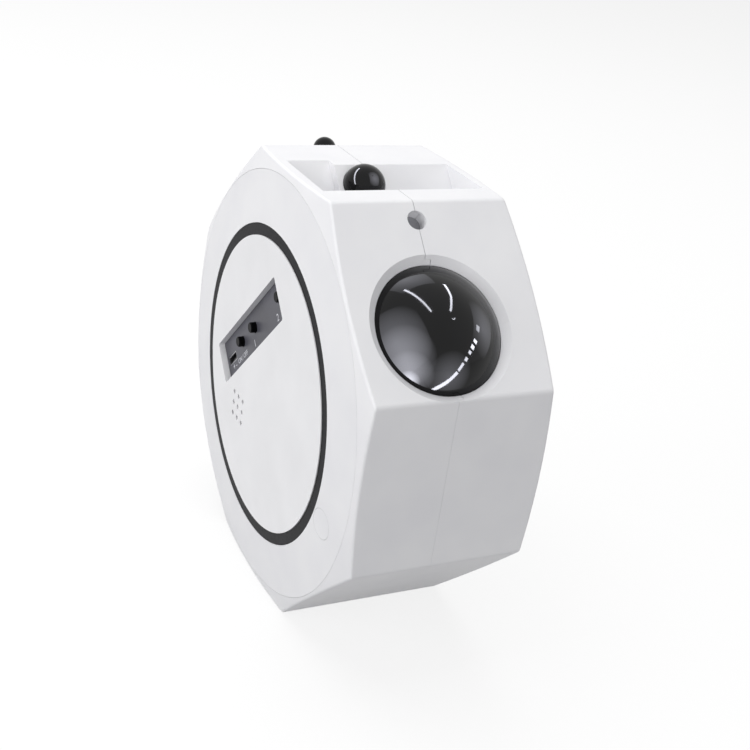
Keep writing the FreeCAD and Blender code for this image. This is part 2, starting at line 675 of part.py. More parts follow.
def envelope():
    """The turned form that the shells' sides follow, from the right seat to the left one."""
    slope = D.crown_rise / (CORNER_RADIUS - COVER_RADIUS)
    edge = COVER_RADIUS + D.fit_gap
    far = CORNER_RADIUS + BEYOND
    left_edge = D.left_width + D.crown_rise
    right_edge = D.right_width + D.crown_rise
    drop = slope * (far - COVER_RADIUS)
    corners = [(0, LEFT_SEAT), (edge, LEFT_SEAT), (edge, left_edge), (far, left_edge - drop),
               (far, drop - right_edge), (edge, -right_edge), (edge, -RIGHT_SEAT), (0, -RIGHT_SEAT)]
    return turned("side_form", LEFT, corners)


def outer_form():
    """The outside of both shells, with its edges rounded."""
    facets = prism("facets", 0, D.left_width + RIM + BEYOND, D.right_width + RIM + BEYOND,
                   D.facet_rounding)
    raw = common("raw_form", facets, envelope())
    DOC.recompute()
    soft = new("Part::Fillet", "outer_form")
    soft.Base = raw
    radius = D.side_rounding.value
    outside = (COVER_RADIUS + D.fit_gap + INTO).value
    chosen = []
    for number, edge in enumerate(raw.Shape.Edges):
        middle = edge.valueAt((edge.FirstParameter + edge.LastParameter) * HALF)
        from_centre = math.hypot(middle.y, middle.z - HALF_HEIGHT.value)
        along_x = abs(edge.tangentAt(edge.FirstParameter).x) > ALIGNED_RATIO
        if from_centre > outside and not along_x:
            chosen.append((number + 1, radius, radius))
    soft.Edges = chosen
    return soft


def pillar_places():
    """The four pillars that carry the optics frame: across, along v."""
    sides = (FRAME_LEFT + D.pillar_inset, FRAME_RIGHT - D.pillar_inset)
    ends = (FRAME_BOTTOM + D.pillar_inset, FRAME_TIP - D.pillar_inset)
    return [(across, along) for across in sides for along in ends]


def bracket_places():
    """The three posts that carry the laser bracket: across, along v, and where they start along u."""
    high_tray = NOTCH_RAMP - D.notch_wall
    low_tray = high_tray - D.step_drop
    return [(-D.bracket_post_left, STAR_V - D.bracket_post_spread, low_tray),
            (-D.bracket_post_left, STAR_V + D.bracket_post_spread, low_tray),
            (D.bracket_post_right, STAR_V, high_tray)]


def dome_screw_places():
    """Places round the main dome's axis: across, along v."""
    steps = [on_circle(DOME_SCREW_CIRCLE, QUARTER_TURN + FULL_TURN * number / DOME_SCREWS)
             for number in range(DOME_SCREWS)]
    return [(across, DOME_V + along) for across, along in steps]


def clamp_screw_places():
    """Places round the star dome's axis: across, along v."""
    steps = [on_circle(CLAMP_CIRCLE, angle) for angle in CLAMP_ANGLES]
    return [(D.star_x + across, STAR_V + along) for across, along in steps]


def shell_screw_places():
    """The shell screws in the wheel's own plane: behind its centre, and above it."""
    return [on_circle(SCREW_CIRCLE, angle) for angle in SHELL_SCREW_ANGLES]


def plug_place():
    """The screw plug on the left side: above the wheel's centre, then behind it."""
    before, below = on_circle(SIDE_OPENING + D.plug_inset, PLUG_ANGLE)
    return (-below, -before)


def notch_solids(grow):
    """The top notch's volume: the whole notch, and its deeper left part, each grown by a wall."""
    far = HALF_HEIGHT + BEYOND
    ramp = NOTCH_RAMP - grow
    front = NOTCH_FRONT - grow
    left = -NOTCH_LEFT - grow
    whole = block("notch_whole", OPTICS, (left, NOTCH_RIGHT + grow), (front, far), (ramp, far))
    deep = block("notch_deep", OPTICS, (left, grow - D.step_side), (front, far), (ramp - D.step_drop, far))
    return [whole, deep]


def housing():
    """Both shells in one piece, before they are parted at the seam."""
    form = outer_form()
    cavity = prism("cavity", D.wall, LEFT_INSIDE, RIGHT_INSIDE)
    skin = cut("skin", form, cavity)

    added = notch_solids(D.notch_wall)
    added.append(cylinder("dome_collar", OPTICS, COLLAR_RADIUS, COLLAR_LOW, HALF_DIAGONAL, 0, DOME_V))
    added.append(cylinder("eye_collar", OPTICS, D.eye_radius + D.wall, EYE_FLOOR - D.wall, HALF_DIAGONAL,
                          0, EYE_V))
    added.append(cylinder("star_collar_ring", OPTICS, D.star_collar, STAR_COLLAR_LOW, NOTCH_RAMP,
                          D.star_x, STAR_V))
    for across, along in pillar_places():
        added.append(cylinder("pillar", OPTICS, D.pillar_radius, FRAME_TOP, HALF_DIAGONAL, across, along))
    for across, along, start in bracket_places():
        added.append(cylinder("bracket_leg", OPTICS, D.bracket_post, BRACKET_TOP, start + INTO, across, along))
    for behind, above in shell_screw_places():
        added.append(cylinder("screw_boss", UPRIGHT_RIGHT, D.boss_radius, -LEFT_SEAT, RIGHT_INSIDE,
                              behind, above))
    boss_end = LEFT_INSIDE - D.screw_bite - D.tip_room - D.blind_end
    added.append(cylinder("plug_boss", UPRIGHT_LEFT, D.boss_radius, boss_end, LEFT_SEAT, *plug_place()))
    inside = common("inside_parts", fuse("added_parts", *added), form)
    return cut("housing", fuse("full_shells", skin, inside), *housing_cuts())


def housing_cuts():
    """Everything that is open in the shells."""
    cuts = notch_solids(as_size(0))
    slope = (D.well_radius - DOME_HOLE) / D.well_depth
    cuts.append(cone("well", OPTICS, DOME_HOLE, D.well_radius + slope * INTO, DOME_RIM,
                     HALF_DIAGONAL + INTO, 0, DOME_V))
    cuts.append(cylinder("dome_hole", OPTICS, DOME_HOLE, COLLAR_LOW - PAST, DOME_RIM + INTO, 0, DOME_V))
    cuts.append(cylinder("eye_hole", OPTICS, D.eye_radius, EYE_FLOOR - PAST, HALF_DIAGONAL + PAST,
                         0, EYE_V))
    cuts.append(cylinder("eye_seat", OPTICS, D.eye_radius + D.eye_ledge, EYE_FLOOR - D.wall - PAST, EYE_FLOOR,
                         0, EYE_V))
    cuts.append(cylinder("star_hole", OPTICS, D.star_radius + D.fit_gap, STAR_COLLAR_LOW - PAST,
                         NOTCH_RAMP + PAST, D.star_x, STAR_V))
    cuts.append(cylinder("rear_hole", REAR, D.rear_radius + D.fit_gap, HALF_DIAGONAL - D.wall - PAST,
                         HALF_DIAGONAL + PAST, 0, REAR_U))
    cuts.append(cylinder("side_openings", LEFT, SIDE_OPENING, -RIGHT_SEAT - PAST, LEFT_SEAT + PAST))
    return cuts + shell_screw_holes()


def shell_screw_holes():
    """The holes in the shells for every screw that goes into them."""
    holes = []
    for across, along in clamp_screw_places():
        holes.append(screw_hole("clamp_thread", OPTICS, D.small_screw, STAR_COLLAR_LOW, D.collar_bite,
                                across, along))
    for across, along in dome_screw_places():
        holes.append(screw_hole("dome_thread", OPTICS, D.small_screw, COLLAR_LOW, D.collar_bite, across, along))
    for across, along in pillar_places():
        holes.append(screw_hole("pillar_thread", OPTICS, D.screw_radius, FRAME_TOP, D.screw_bite, across, along))
    for across, along, start in bracket_places():
        holes.append(screw_hole("leg_thread", OPTICS, D.small_screw, BRACKET_TOP, D.small_bite, across, along))
    head_room = D.head_height + D.fit_gap
    for behind, above in shell_screw_places():
        holes.append(cylinder("shank_room", UPRIGHT_RIGHT, D.screw_radius + D.fit_gap * HALF, -LEFT_SEAT,
                              SHELL_THREAD_END, behind, above))
        holes.append(cylinder("head_room", UPRIGHT_RIGHT, D.screw_head + D.fit_gap * 2, -LEFT_SEAT - PAST,
                              head_room - LEFT_SEAT, behind, above))
    holes.append(cylinder("plug_thread", UPRIGHT_LEFT, D.screw_radius + D.fit_gap * HALF,
                          LEFT_INSIDE - D.screw_bite - D.tip_room, LEFT_SEAT + PAST, *plug_place()))
    return holes


def left_of(name, gap):
    """Everything left of the seam, and a gap past it."""
    far = HALF_HEIGHT + BEYOND
    return block(name, UPRIGHT_RIGHT, (-far, far), (-far, far), (-far, gap))


def shells():
    """The two shells: the left one's inner lip reaches past the seam, which stands open round the top."""
    whole = housing()
    far = HALF_HEIGHT + BEYOND
    lip = prism("lip", D.lap_depth, 0, D.lap_reach)
    lip_room = prism("lip_room", D.lap_depth - D.seam_gap, 0, D.lap_reach + D.seam_gap)
    open_seam = block("open_seam", OPTICS, (-far, D.seam_gap), (DOME_V, far), (0, far))
    left = common("left_shell", whole, fuse("left_part", left_of("left_of_seam", 0), lip))
    right = cut("right_shell", whole, left_of("left_of_right_shell", D.fit_gap * HALF), lip_room, open_seam)
    return [left, right]


def cover_blank(name, frame, seat, face):
    """An annular side cover: sloping outside, with a step inside for ring and disc."""
    step = face - D.ring_seat
    rim = RING_OUTER + D.fit_gap
    plug_fit = SIDE_OPENING - D.fit_gap
    corners = [(COVER_RADIUS, seat), (COVER_RADIUS, seat + D.cover_edge), (rim, face), (rim, step),
               (STEP_OPENING, step), (STEP_OPENING, step - D.step_plate), (plug_fit, step - D.step_plate),
               (plug_fit, seat)]
    return turned(name, frame, corners)


def side_ring(name, frame, face):
    """The dark ring between side cover and centre disc."""
    inner = RING_INNER + D.fit_gap
    low = face - D.ring_seat
    high = face - D.ring_drop
    return turned(name, frame, [(inner, low), (RING_OUTER, low), (RING_OUTER, high), (inner, high)])


def plain_disc(name, frame, face):
    """A centre disc that lies on the side cover's step."""
    low = face - D.ring_seat
    high = face + D.disc_proud
    return turned(name, frame, [(0, low), (RING_INNER, low), (RING_INNER, high), (0, high)])


def side_cover_parts():
    """Side covers, rings, the plain right disc, and the plug with its screw."""
    left_blank = cover_blank("left_cover_blank", LEFT, LEFT_SEAT, LEFT_FACE)
    right_cover = cover_blank("right_side_cover", RIGHT, RIGHT_SEAT, RIGHT_FACE)
    spot = plug_place()
    head_low = LEFT_SEAT + D.plug_floor
    head_top = head_low + D.cover_head
    outside = LEFT_FACE + PAST
    room = cylinder("plug_room", UPRIGHT_LEFT, D.plug_radius + D.fit_gap, head_low, outside, *spot)
    shank_room = cylinder("cover_shank_room", UPRIGHT_LEFT, D.screw_radius + D.fit_gap * 2, LEFT_SEAT - PAST,
                          head_low + INTO, *spot)
    left_cover = cut("left_side_cover", left_blank, room, shank_room)
    plug_core = cylinder("plug_core", UPRIGHT_LEFT, D.plug_radius, head_top + D.fit_gap * HALF, outside, *spot)
    plug = common("screw_plug", plug_core, cover_blank("plug_form", LEFT, LEFT_SEAT, LEFT_FACE))
    cover_screw = fuse("cover_screw",
                       cylinder("cover_screw_head", UPRIGHT_LEFT, D.screw_head, head_low, head_top, *spot),
                       cylinder("cover_screw_shank", UPRIGHT_LEFT, D.screw_radius, LEFT_INSIDE - D.screw_bite,
                                head_low, *spot))
    return [left_cover, right_cover, side_ring("left_ring", LEFT, LEFT_FACE),
            side_ring("right_ring", RIGHT, RIGHT_FACE), plug, cover_screw,
            plain_disc("right_disc", RIGHT, RIGHT_FACE)]


def rounded_block(name, frame, a, b, c, radius):
    """A block with its four edges along the frame's third direction rounded."""
    low_a, high_a = a
    low_b, high_b = b
    parts = [block(name + "_long", frame, a, (low_b + radius, high_b - radius), c),
             block(name + "_wide", frame, (low_a + radius, high_a - radius), b, c)]
    for place_a in (low_a + radius, high_a - radius):
        for place_b in (low_b + radius, high_b - radius):
            parts.append(cylinder(name + "_corner", frame, radius, c[0], c[1], place_a, place_b))
    return fuse(name, *parts)


def sound_hole_places():
    """The sound holes, level and upright: above the wheel's centre, then behind it."""
    middle = (SOUND_HOLES - 1) * HALF
    return [((row - middle) * D.sound_pitch - D.sound_z, (column - middle) * D.sound_pitch + D.sound_y)
            for row in range(SOUND_HOLES) for column in range(SOUND_HOLES)]


def button_places():
    """Each button's name and its place along u."""
    return [("power_button", D.power_place), ("light_button", D.light_place), ("mode_button", D.mode_place)]


def socket_hole(name, low, high):
    """The opening for the power socket."""
    return block(name, LEFT, about(D.socket_place, D.socket_long + D.fit_gap * 2),
                 about(D.socket_row, D.socket_short + D.fit_gap * 2), (low, high))


def control_disc():
    """The left centre disc with the control recess, sound holes, speaker rim and board posts."""
    ends = (-D.recess_back, D.recess_front)
    sides = (D.recess_low, D.recess_high)
    wall = D.recess_wall
    joined = DISC_UNDER + INTO
    pieces = [plain_disc("disc_blank", LEFT, LEFT_FACE)]
    pieces.append(rounded_block("recess_tub", LEFT, (ends[0] - wall, ends[1] + wall),
                                (sides[0] - wall, sides[1] + wall), (RECESS_UNDER, joined),
                                D.recess_corner + wall))
    pieces.append(cylinder("speaker_rim", LEFT, D.speaker_radius + D.recess_wall, DISC_UNDER - D.speaker_rim,
                           joined, SPEAKER_U, SPEAKER_V))
    for place_u, place_v in BOARD_POSTS:
        pieces.append(cylinder("board_post", LEFT, D.post_radius, BOARD_TOP, joined, place_u, place_v))
    hollow = [rounded_block("recess_room", LEFT, ends, sides, (RECESS_FLOOR, DISC_FACE + PAST),
                            D.recess_corner)]
    hollow.append(cylinder("speaker_room", LEFT, D.speaker_radius + D.fit_gap, DISC_UNDER - D.speaker_rim - PAST,
                           DISC_UNDER, SPEAKER_U, SPEAKER_V))
    for place_z, place_y in sound_hole_places():
        hollow.append(cylinder("sound_way", UPRIGHT_LEFT, D.sound_hole, DISC_UNDER - PAST, DISC_FACE + PAST,
                               place_z, place_y))
    for name, place in button_places():
        hollow.append(cylinder(name + "_way", LEFT, D.button_radius + D.button_gap, RECESS_UNDER - PAST,
                               RECESS_FLOOR + PAST, place, D.controls_row))
    hollow.append(socket_hole("socket_way", RECESS_UNDER - PAST, RECESS_FLOOR + PAST))
    for place_u, place_v in BOARD_POSTS:
        hollow.append(screw_hole("board_thread", LEFT, D.small_screw, BOARD_TOP, D.small_bite, place_u, place_v))
    return cut("control_disc", fuse("disc_body", *pieces), *hollow)


def control_plate():
    """The dark plate on the recess's floor."""
    gap = D.fit_gap
    plate = rounded_block("plate_blank", LEFT, (-D.recess_back + gap, D.recess_front - gap),
                          (D.recess_low + gap, D.recess_high - gap), (RECESS_FLOOR, PLATE_FACE), D.recess_corner)
    holes = [socket_hole("plate_socket_hole", RECESS_FLOOR - PAST, PLATE_FACE + PAST)]
    for name, place in button_places():
        holes.append(cylinder(name + "_plate_hole", LEFT, D.button_radius + D.button_gap, RECESS_FLOOR - PAST,
                              PLATE_FACE + PAST, place, D.controls_row))
    return cut("control_plate", plate, *holes)


def buttons():
    """Each button: cap, flange behind the recess's floor, and a stem into its switch."""
    made = []
    flange_top = RECESS_UNDER - D.fit_gap
    joined = flange_top - D.button_flange_plate * HALF
    cap_top = PLATE_FACE + D.button_proud
    cap_edge = cap_top - D.button_chamfer
    for name, place in button_places():
        spot = (place, D.controls_row)
        made.append(fuse(name,
                         cylinder(name + "_cap", LEFT, D.button_radius, joined, cap_edge, *spot),
                         cone(name + "_top", LEFT, D.button_radius, D.button_radius - D.button_chamfer,
                              cap_edge, cap_top, *spot),
                         cylinder(name + "_flange", LEFT, D.button_flange, flange_top - D.button_flange_plate,
                                  flange_top, *spot),
                         cylinder(name + "_stem", LEFT, D.stem_radius, SWITCH_TOP - D.stem_reach, joined,
                                  *spot)))
    return made


def board_parts():
    """The main board with its screws, switches and circuit parts."""
    board = block("board_blank", LEFT, (-D.board_back, D.board_front), (-D.board_low, D.board_high),
                  (BOARD_LOW, BOARD_TOP))
    holes = []
    screws = []
    for place_u, place_v in BOARD_POSTS:
        holes.append(cylinder("board_hole", LEFT, D.small_screw + D.fit_gap, BOARD_LOW - PAST, BOARD_TOP + PAST,
                              place_u, place_v))
        screws.append(screw("board_screw", LEFT, D.small_screw, D.small_head, D.small_head_height, BOARD_LOW,
                            D.board_thick + D.small_bite, place_u, place_v))
    switches = []
    way_low = SWITCH_TOP - D.stem_reach - D.button_travel - D.fit_gap
    for name, place in button_places():
        case = block(name + "_switch_case", LEFT, about(place, D.switch_side),
                     about(D.controls_row, D.switch_side), (BOARD_TOP, SWITCH_TOP))
        way = cylinder(name + "_switch_way", LEFT, D.stem_radius + D.stem_gap, way_low, SWITCH_TOP + PAST,
                       place, D.controls_row)
        switches.append(cut(name + "_switch", case, way))
    chips = [block("circuit_part", LEFT, about(as_size(u), as_size(long)), about(as_size(v), as_size(wide)),
                   (BOARD_TOP, BOARD_TOP + high)) for u, v, long, wide, high in CIRCUIT_PARTS]
    return [cut("main_board", board, *holes), group("board_screws", screws),
            group("button_switches", switches), group("circuit_parts", chips)]


def socket_parts():
    """The power socket's sheet metal shell and its tongue."""
    floor = BOARD_TOP + D.socket_sheet
    shell = block("socket_shell", LEFT, about(D.socket_place, D.socket_long),
                  about(D.socket_row, D.socket_short), (BOARD_TOP, SOCKET_TOP))
    room = block("socket_room", LEFT, about(D.socket_place, D.socket_long - D.socket_sheet * 2),
                 about(D.socket_row, D.socket_short - D.socket_sheet * 2), (floor, SOCKET_TOP + PAST))
    tongue = block("socket_tongue", LEFT, about(D.socket_place, D.tongue_long),
                   about(D.socket_row, D.tongue_thick), (floor, SOCKET_TOP - D.tongue_drop))
    return [cut("power_socket", shell, room), tongue]


def speaker_parts():
    """The small loudspeaker behind the sound holes."""
    spot = (SPEAKER_U, SPEAKER_V)
    floor = SPEAKER_LOW + D.speaker_wall
    inside = D.speaker_radius - D.speaker_wall
    magnet_low = SPEAKER_LOW - D.magnet_proud
    magnet_top = magnet_low + D.magnet_height
    basket = cylinder("basket", LEFT, D.speaker_radius, SPEAKER_LOW, SPEAKER_TOP, *spot)
    room = cylinder("basket_room", LEFT, inside, floor, SPEAKER_TOP + PAST, *spot)
    back_hole = cylinder("basket_hole", LEFT, D.magnet_radius + D.fit_gap, SPEAKER_LOW - PAST, floor + PAST, *spot)
    magnet = cylinder("speaker_magnet", LEFT, D.magnet_radius, magnet_low, magnet_top, *spot)
    wide = inside - D.fit_gap
    sheet = D.cone_sheet
    edge = SPEAKER_TOP - sheet
    diaphragm = cut("speaker_cone",
                    cone("diaphragm", LEFT, D.magnet_radius, wide, magnet_top + D.fit_gap, edge, *spot),
                    cone("diaphragm_room", LEFT, D.magnet_radius - sheet, wide - sheet, magnet_top + sheet,
                         edge + D.fit_gap, *spot))
    return [cut("speaker_frame", basket, room, back_hole), magnet, diaphragm]


def main_dome_parts():
    """The main dome, the barrel that clamps it, its lens and screws."""
    spot = (0, DOME_V)
    crown = cap("main_dome", OPTICS, D.dome_radius, D.dome_rise, D.dome_wall, D.dome_flange, DOME_RIM,
                DOME_FLANGE_LOW, *spot)
    lens_low = BARREL_LOW + D.barrel_ledge
    barrel = fuse("barrel_body",
                  cylinder("barrel_flange", OPTICS, COLLAR_RADIUS - D.fit_gap, BARREL_FLANGE_LOW, BARREL_TOP,
                           *spot),
                  cylinder("barrel_tube", OPTICS, D.barrel_bore + D.barrel_wall, BARREL_LOW, BARREL_TOP, *spot))
    openings = [cylinder("barrel_way", OPTICS, D.barrel_bore, lens_low, BARREL_TOP + PAST, *spot),
                cylinder("barrel_mouth", OPTICS, D.barrel_bore - D.barrel_ledge, BARREL_LOW - PAST,
                         lens_low + PAST, *spot)]
    screws = []
    reach = COLLAR_LOW - BARREL_FLANGE_LOW + D.collar_bite
    for across, along in dome_screw_places():
        openings.append(cylinder("barrel_hole", OPTICS, D.small_screw + D.fit_gap, BARREL_FLANGE_LOW - PAST,
                                 BARREL_TOP + PAST, across, along))
        screws.append(screw("dome_screw", OPTICS, D.small_screw, D.small_head, D.small_head_height,
                            BARREL_FLANGE_LOW, reach, across, along))
    glass = lens("projection_lens", OPTICS, D.barrel_bore - D.fit_gap, D.lens_thick, D.lens_curve, lens_low, *spot)
    return [crown, cut("lens_barrel", barrel, *openings), glass, group("dome_screws", screws)]


def eye_parts():
    """The receiver eye's window, sensor and small board."""
    spot = (0, EYE_V)
    collar_low = EYE_FLOOR - D.wall
    window_low = EYE_FLOOR - D.window_thick
    window = cylinder("eye_window", OPTICS, D.eye_radius + D.eye_ledge - D.fit_gap, window_low,
                      EYE_FLOOR - D.fit_gap * HALF, *spot)
    sensor = cylinder("receiver_sensor", OPTICS, D.eye_radius - D.eye_ledge, collar_low,
                      window_low - D.fit_gap * HALF, *spot)
    side = D.eye_radius + D.wall
    board = block("receiver_board", OPTICS, (-side, side), (EYE_V - side, EYE_V + side),
                  (collar_low - D.board_thick, collar_low))
    return [window, sensor, board]


def star_dome_parts():
    """The star dome, its clamp ring and screws."""
    spot = (D.star_x, STAR_V)
    crown = dome("star_dome", OPTICS, D.star_radius, D.star_wall, D.star_flange, STAR_CENTRE, STAR_FLANGE_LOW, *spot)
    openings = [cylinder("clamp_way", OPTICS, D.star_radius - D.star_wall * 2, CLAMP_LOW - PAST,
                         CLAMP_TOP + PAST, *spot)]
    screws = []
    reach = STAR_COLLAR_LOW - CLAMP_LOW + D.collar_bite
    for across, along in clamp_screw_places():
        openings.append(cylinder("clamp_hole", OPTICS, D.small_screw + D.fit_gap, CLAMP_LOW - PAST,
                                 CLAMP_TOP + PAST, across, along))
        screws.append(screw("clamp_screw", OPTICS, D.small_screw, D.small_head, D.flat_head, CLAMP_LOW, reach,
                            across, along))
    ring = cylinder("clamp_blank", OPTICS, D.star_collar, CLAMP_LOW, CLAMP_TOP, *spot)
    return [crown, cut("star_dome_clamp", ring, *openings), group("clamp_screws", screws)]


def rear_dome_parts():
    """The small dome on the upper back facet and the light behind it."""
    spot = (0, REAR_U)
    round_at = HALF_DIAGONAL + D.rear_reach - D.rear_radius
    flange_high = HALF_DIAGONAL - D.wall - D.fit_gap * HALF
    flange_low = flange_high - D.flange_plate
    lamp_top = flange_low - D.fit_gap * HALF
    crown = fuse("rear_dome",
                 ball("rear_ball", REAR, D.rear_radius, *spot, round_at, upper=True),
                 cylinder("rear_barrel", REAR, D.rear_radius, flange_low, round_at, *spot),
                 cylinder("rear_flange_ring", REAR, D.rear_flange, flange_low, flange_high, *spot))
    light = cylinder("rear_lamp", REAR, D.rear_lamp_radius, lamp_top - D.rear_lamp_length, lamp_top, *spot)
    return [crown, light]


def optics_frame_parts():
    """The plate that carries lamp, wheel and motor, with its screws."""
    plate = block("frame_blank", OPTICS, (FRAME_LEFT, FRAME_RIGHT), (FRAME_BOTTOM, FRAME_TIP),
                  (FRAME_LOW, FRAME_TOP))
    cell = cylinder("lens_cell", OPTICS, D.cell_radius + D.cell_wall, CELL_LOW, FRAME_TOP, 0, DOME_V)
    bearing = cylinder("axle_bearing", OPTICS, D.axle_radius + D.wall, FRAME_LOW - D.axle_boss, FRAME_TOP,
                       D.wheel_x, WHEEL_V)
    ledge = D.cell_ledge
    openings = [cylinder("cell_way", OPTICS, D.cell_radius, CELL_LOW - PAST, FRAME_TOP - ledge, 0, DOME_V),
                cylinder("cell_mouth", OPTICS, D.cell_radius - ledge, FRAME_TOP - ledge - PAST, FRAME_TOP + PAST,
                         0, DOME_V),
                cylinder("axle_hole", OPTICS, D.axle_radius, FRAME_LOW - D.axle_boss - PAST, FRAME_TOP + PAST,
                         D.wheel_x, WHEEL_V),
                cylinder("shaft_hole", OPTICS, D.shaft_radius + D.wall, FRAME_LOW - PAST, FRAME_TOP + PAST,
                         D.wheel_x, PINION_V)]
    screws = []
    for across, along in pillar_places():
        openings.append(cylinder("frame_hole", OPTICS, D.screw_radius + D.fit_gap, FRAME_LOW - PAST,
                                 FRAME_TOP + PAST, across, along))
        screws.append(screw("frame_screw", OPTICS, D.screw_radius, D.screw_head, D.head_height, FRAME_LOW,
                            D.frame_plate + D.screw_bite, across, along))
    return [cut("optics_frame", fuse("frame_body", plate, cell, bearing), *openings), group("frame_screws", screws)]


def lamp_parts():
    """Condenser lens, lamp board with its light emitters, and finned heat sink."""
    spot = (0, DOME_V)
    lamp_low = CELL_LOW - D.lamp_thick
    glass = lens("condenser_lens", OPTICS, D.cell_radius - D.fit_gap, D.condenser_thick, D.condenser_curve,
                 CELL_LOW + D.condenser_lift, *spot)
    board = cylinder("lamp_board", OPTICS, D.cell_radius + D.cell_wall - D.fit_gap, lamp_low, CELL_LOW, *spot)
    reach = D.emitter_pitch * HALF
    emitters = [block("emitter", OPTICS, about(reach * across, D.emitter_side),
                      about(DOME_V + reach * along, D.emitter_side), (CELL_LOW, CELL_LOW + D.emitter_height))
                for across in (-1, 1) for along in (-1, 1)]
    base_low = lamp_low - D.sink_base
    sink_low = lamp_low - D.sink_height
    depth = about(DOME_V, D.sink_side)
    pieces = [block("sink_plate", OPTICS, about(as_size(0), D.sink_side), depth, (base_low, lamp_low))]
    pitch = (D.sink_side - D.fin_thick) / (SINK_FINS - 1)
    for number in range(SINK_FINS):
        across = pitch * number - D.sink_side * HALF
        pieces.append(block("fin", OPTICS, (across, across + D.fin_thick), depth, (sink_low, base_low + INTO)))
    return [glass, board, group("lamp_emitters", emitters), fuse("heat_sink", *pieces)]


def spoke(degrees):
    """One spoke of the cloud wheel, from its axis out into the rim."""
    angle = math.radians(degrees)
    first = Vector(*ALONG_X) * math.cos(angle) + Vector(*ALONG_V) * math.sin(angle)
    second = Vector(*ALONG_V) * math.cos(angle) - Vector(*ALONG_X) * math.sin(angle)
    frame = Frame(tuple(first), tuple(second), ALONG_U)
    near = D.wheel_x * math.cos(angle) + WHEEL_V * math.sin(angle)
    side = WHEEL_V * math.cos(angle) - D.wheel_x * math.sin(angle)
    return block("spoke", frame, (near, near + RIM_INNER + INTO), about(side, D.spoke_width), (RIM_LOW, RIM_HIGH))


def cloud_wheel_parts():
    """The cloud wheel with its film, axle and clip."""
    spot = (D.wheel_x, WHEEL_V)
    half_tooth = FULL_TURN / WHEEL_TEETH * HALF
    blank = toothed("wheel_teeth", OPTICS, WHEEL_TEETH, RIM_LOW, RIM_HIGH, *spot, turn=half_tooth - QUARTER_TURN)
    rim = cut("wheel_rim", blank, cylinder("rim_room", OPTICS, RIM_INNER, RIM_LOW - PAST, RIM_HIGH + PAST, *spot))
    pieces = [rim, cylinder("wheel_hub", OPTICS, D.hub_radius, HUB_LOW, HUB_TOP, *spot)]
    pieces += [spoke(FULL_TURN * number / WHEEL_SPOKES) for number in range(WHEEL_SPOKES)]
    bore = cylinder("wheel_bore", OPTICS, D.axle_radius + D.stem_gap, HUB_LOW - PAST, HUB_TOP + PAST, *spot)
    wheel = cut("cloud_wheel", fuse("wheel_body", *pieces), bore)
    film_low = RIM_LOW - D.film_thick
    film = cut("nebula_disc", cylinder("film_blank", OPTICS, RIM_INNER + D.film_lap, film_low, RIM_LOW, *spot),
               cylinder("film_hole", OPTICS, D.hub_radius + D.fit_gap, film_low - PAST, RIM_LOW + PAST, *spot))
    axle = cylinder("wheel_axle", OPTICS, D.axle_radius, FRAME_LOW - D.axle_boss, AXLE_TOP, *spot)
    clip = cut("axle_clip", cylinder("clip_blank", OPTICS, D.clip_radius, CLIP_LOW, CLIP_LOW + D.clip_thick, *spot),
               cylinder("clip_hole", OPTICS, D.axle_radius, CLIP_LOW - PAST, AXLE_TOP + PAST, *spot))
    return [wheel, film, axle, clip]


def wheel_motor_parts():
    """The motor that turns the cloud wheel, and its pinion."""
    spot = (D.wheel_x, PINION_V)
    shaft_low = FRAME_LOW - D.shaft_depth
    pinion = fuse("motor_pinion",
                  toothed("pinion_teeth", OPTICS, PINION_TEETH, RIM_LOW - D.fit_gap, RIM_HIGH + D.fit_gap, *spot,
                          turn=QUARTER_TURN),
                  cylinder("pinion_shaft", OPTICS, D.shaft_radius, shaft_low, RIM_HIGH, *spot))
    gearbox_low = FRAME_LOW - D.gearbox_height
    can_span = (gearbox_low - D.motor_height, gearbox_low + INTO)
    width = about(D.wheel_x, D.motor_wide)
    depth = about(PINION_V, D.motor_deep)
    can = common("motor_can", cylinder("motor_round", OPTICS, D.motor_wide * HALF, *can_span, *spot),
                 block("motor_flats", OPTICS, width, depth, can_span))
    gearbox = block("gearbox", OPTICS, width, depth, (gearbox_low, FRAME_LOW))
    bore = cylinder("motor_bore", OPTICS, D.shaft_radius + D.stem_gap, shaft_low - D.fit_gap, FRAME_LOW + PAST,
                    *spot)
    return [pinion, cut("wheel_motor", fuse("motor_body", can, gearbox), bore)]


def laser_parts():
    """The laser bracket with its laser and screws."""
    spot = (D.star_x, STAR_V)
    margin = D.bracket_post + D.bracket_margin
    reach = D.bracket_post_spread + margin
    below = BRACKET_LOW - PAST
    above = BRACKET_TOP + PAST
    plate = block("bracket_blank", OPTICS, (-D.bracket_post_left - margin, D.bracket_post_right + margin),
                  (STAR_V - reach, STAR_V + reach), (BRACKET_LOW, BRACKET_TOP))
    openings = [cylinder("laser_hole", OPTICS, D.laser_radius + D.fit_gap * HALF, below, above, *spot),
                cylinder("grating_way", OPTICS, D.grating_hole, below, above, GRATING_X, STAR_V)]
    screws = []
    for across, along, start in bracket_places():
        openings.append(cylinder("bracket_hole", OPTICS, D.small_screw + D.fit_gap, below, above, across, along))
        screws.append(screw("bracket_screw", OPTICS, D.small_screw, D.small_head, D.small_head_height, BRACKET_LOW,
                            D.bracket_plate + D.small_bite, across, along))
    laser_high = GRATING_LOW - D.laser_gap
    laser = cut("laser_barrel",
                cylinder("laser_tube", OPTICS, D.laser_radius, laser_high - D.laser_length, laser_high, *spot),
                cylinder("laser_way", OPTICS, D.laser_mouth, laser_high - D.laser_mouth_depth, laser_high + PAST,
                         *spot))
    return [cut("laser_bracket", plate, *openings), group("bracket_screws", screws), laser]


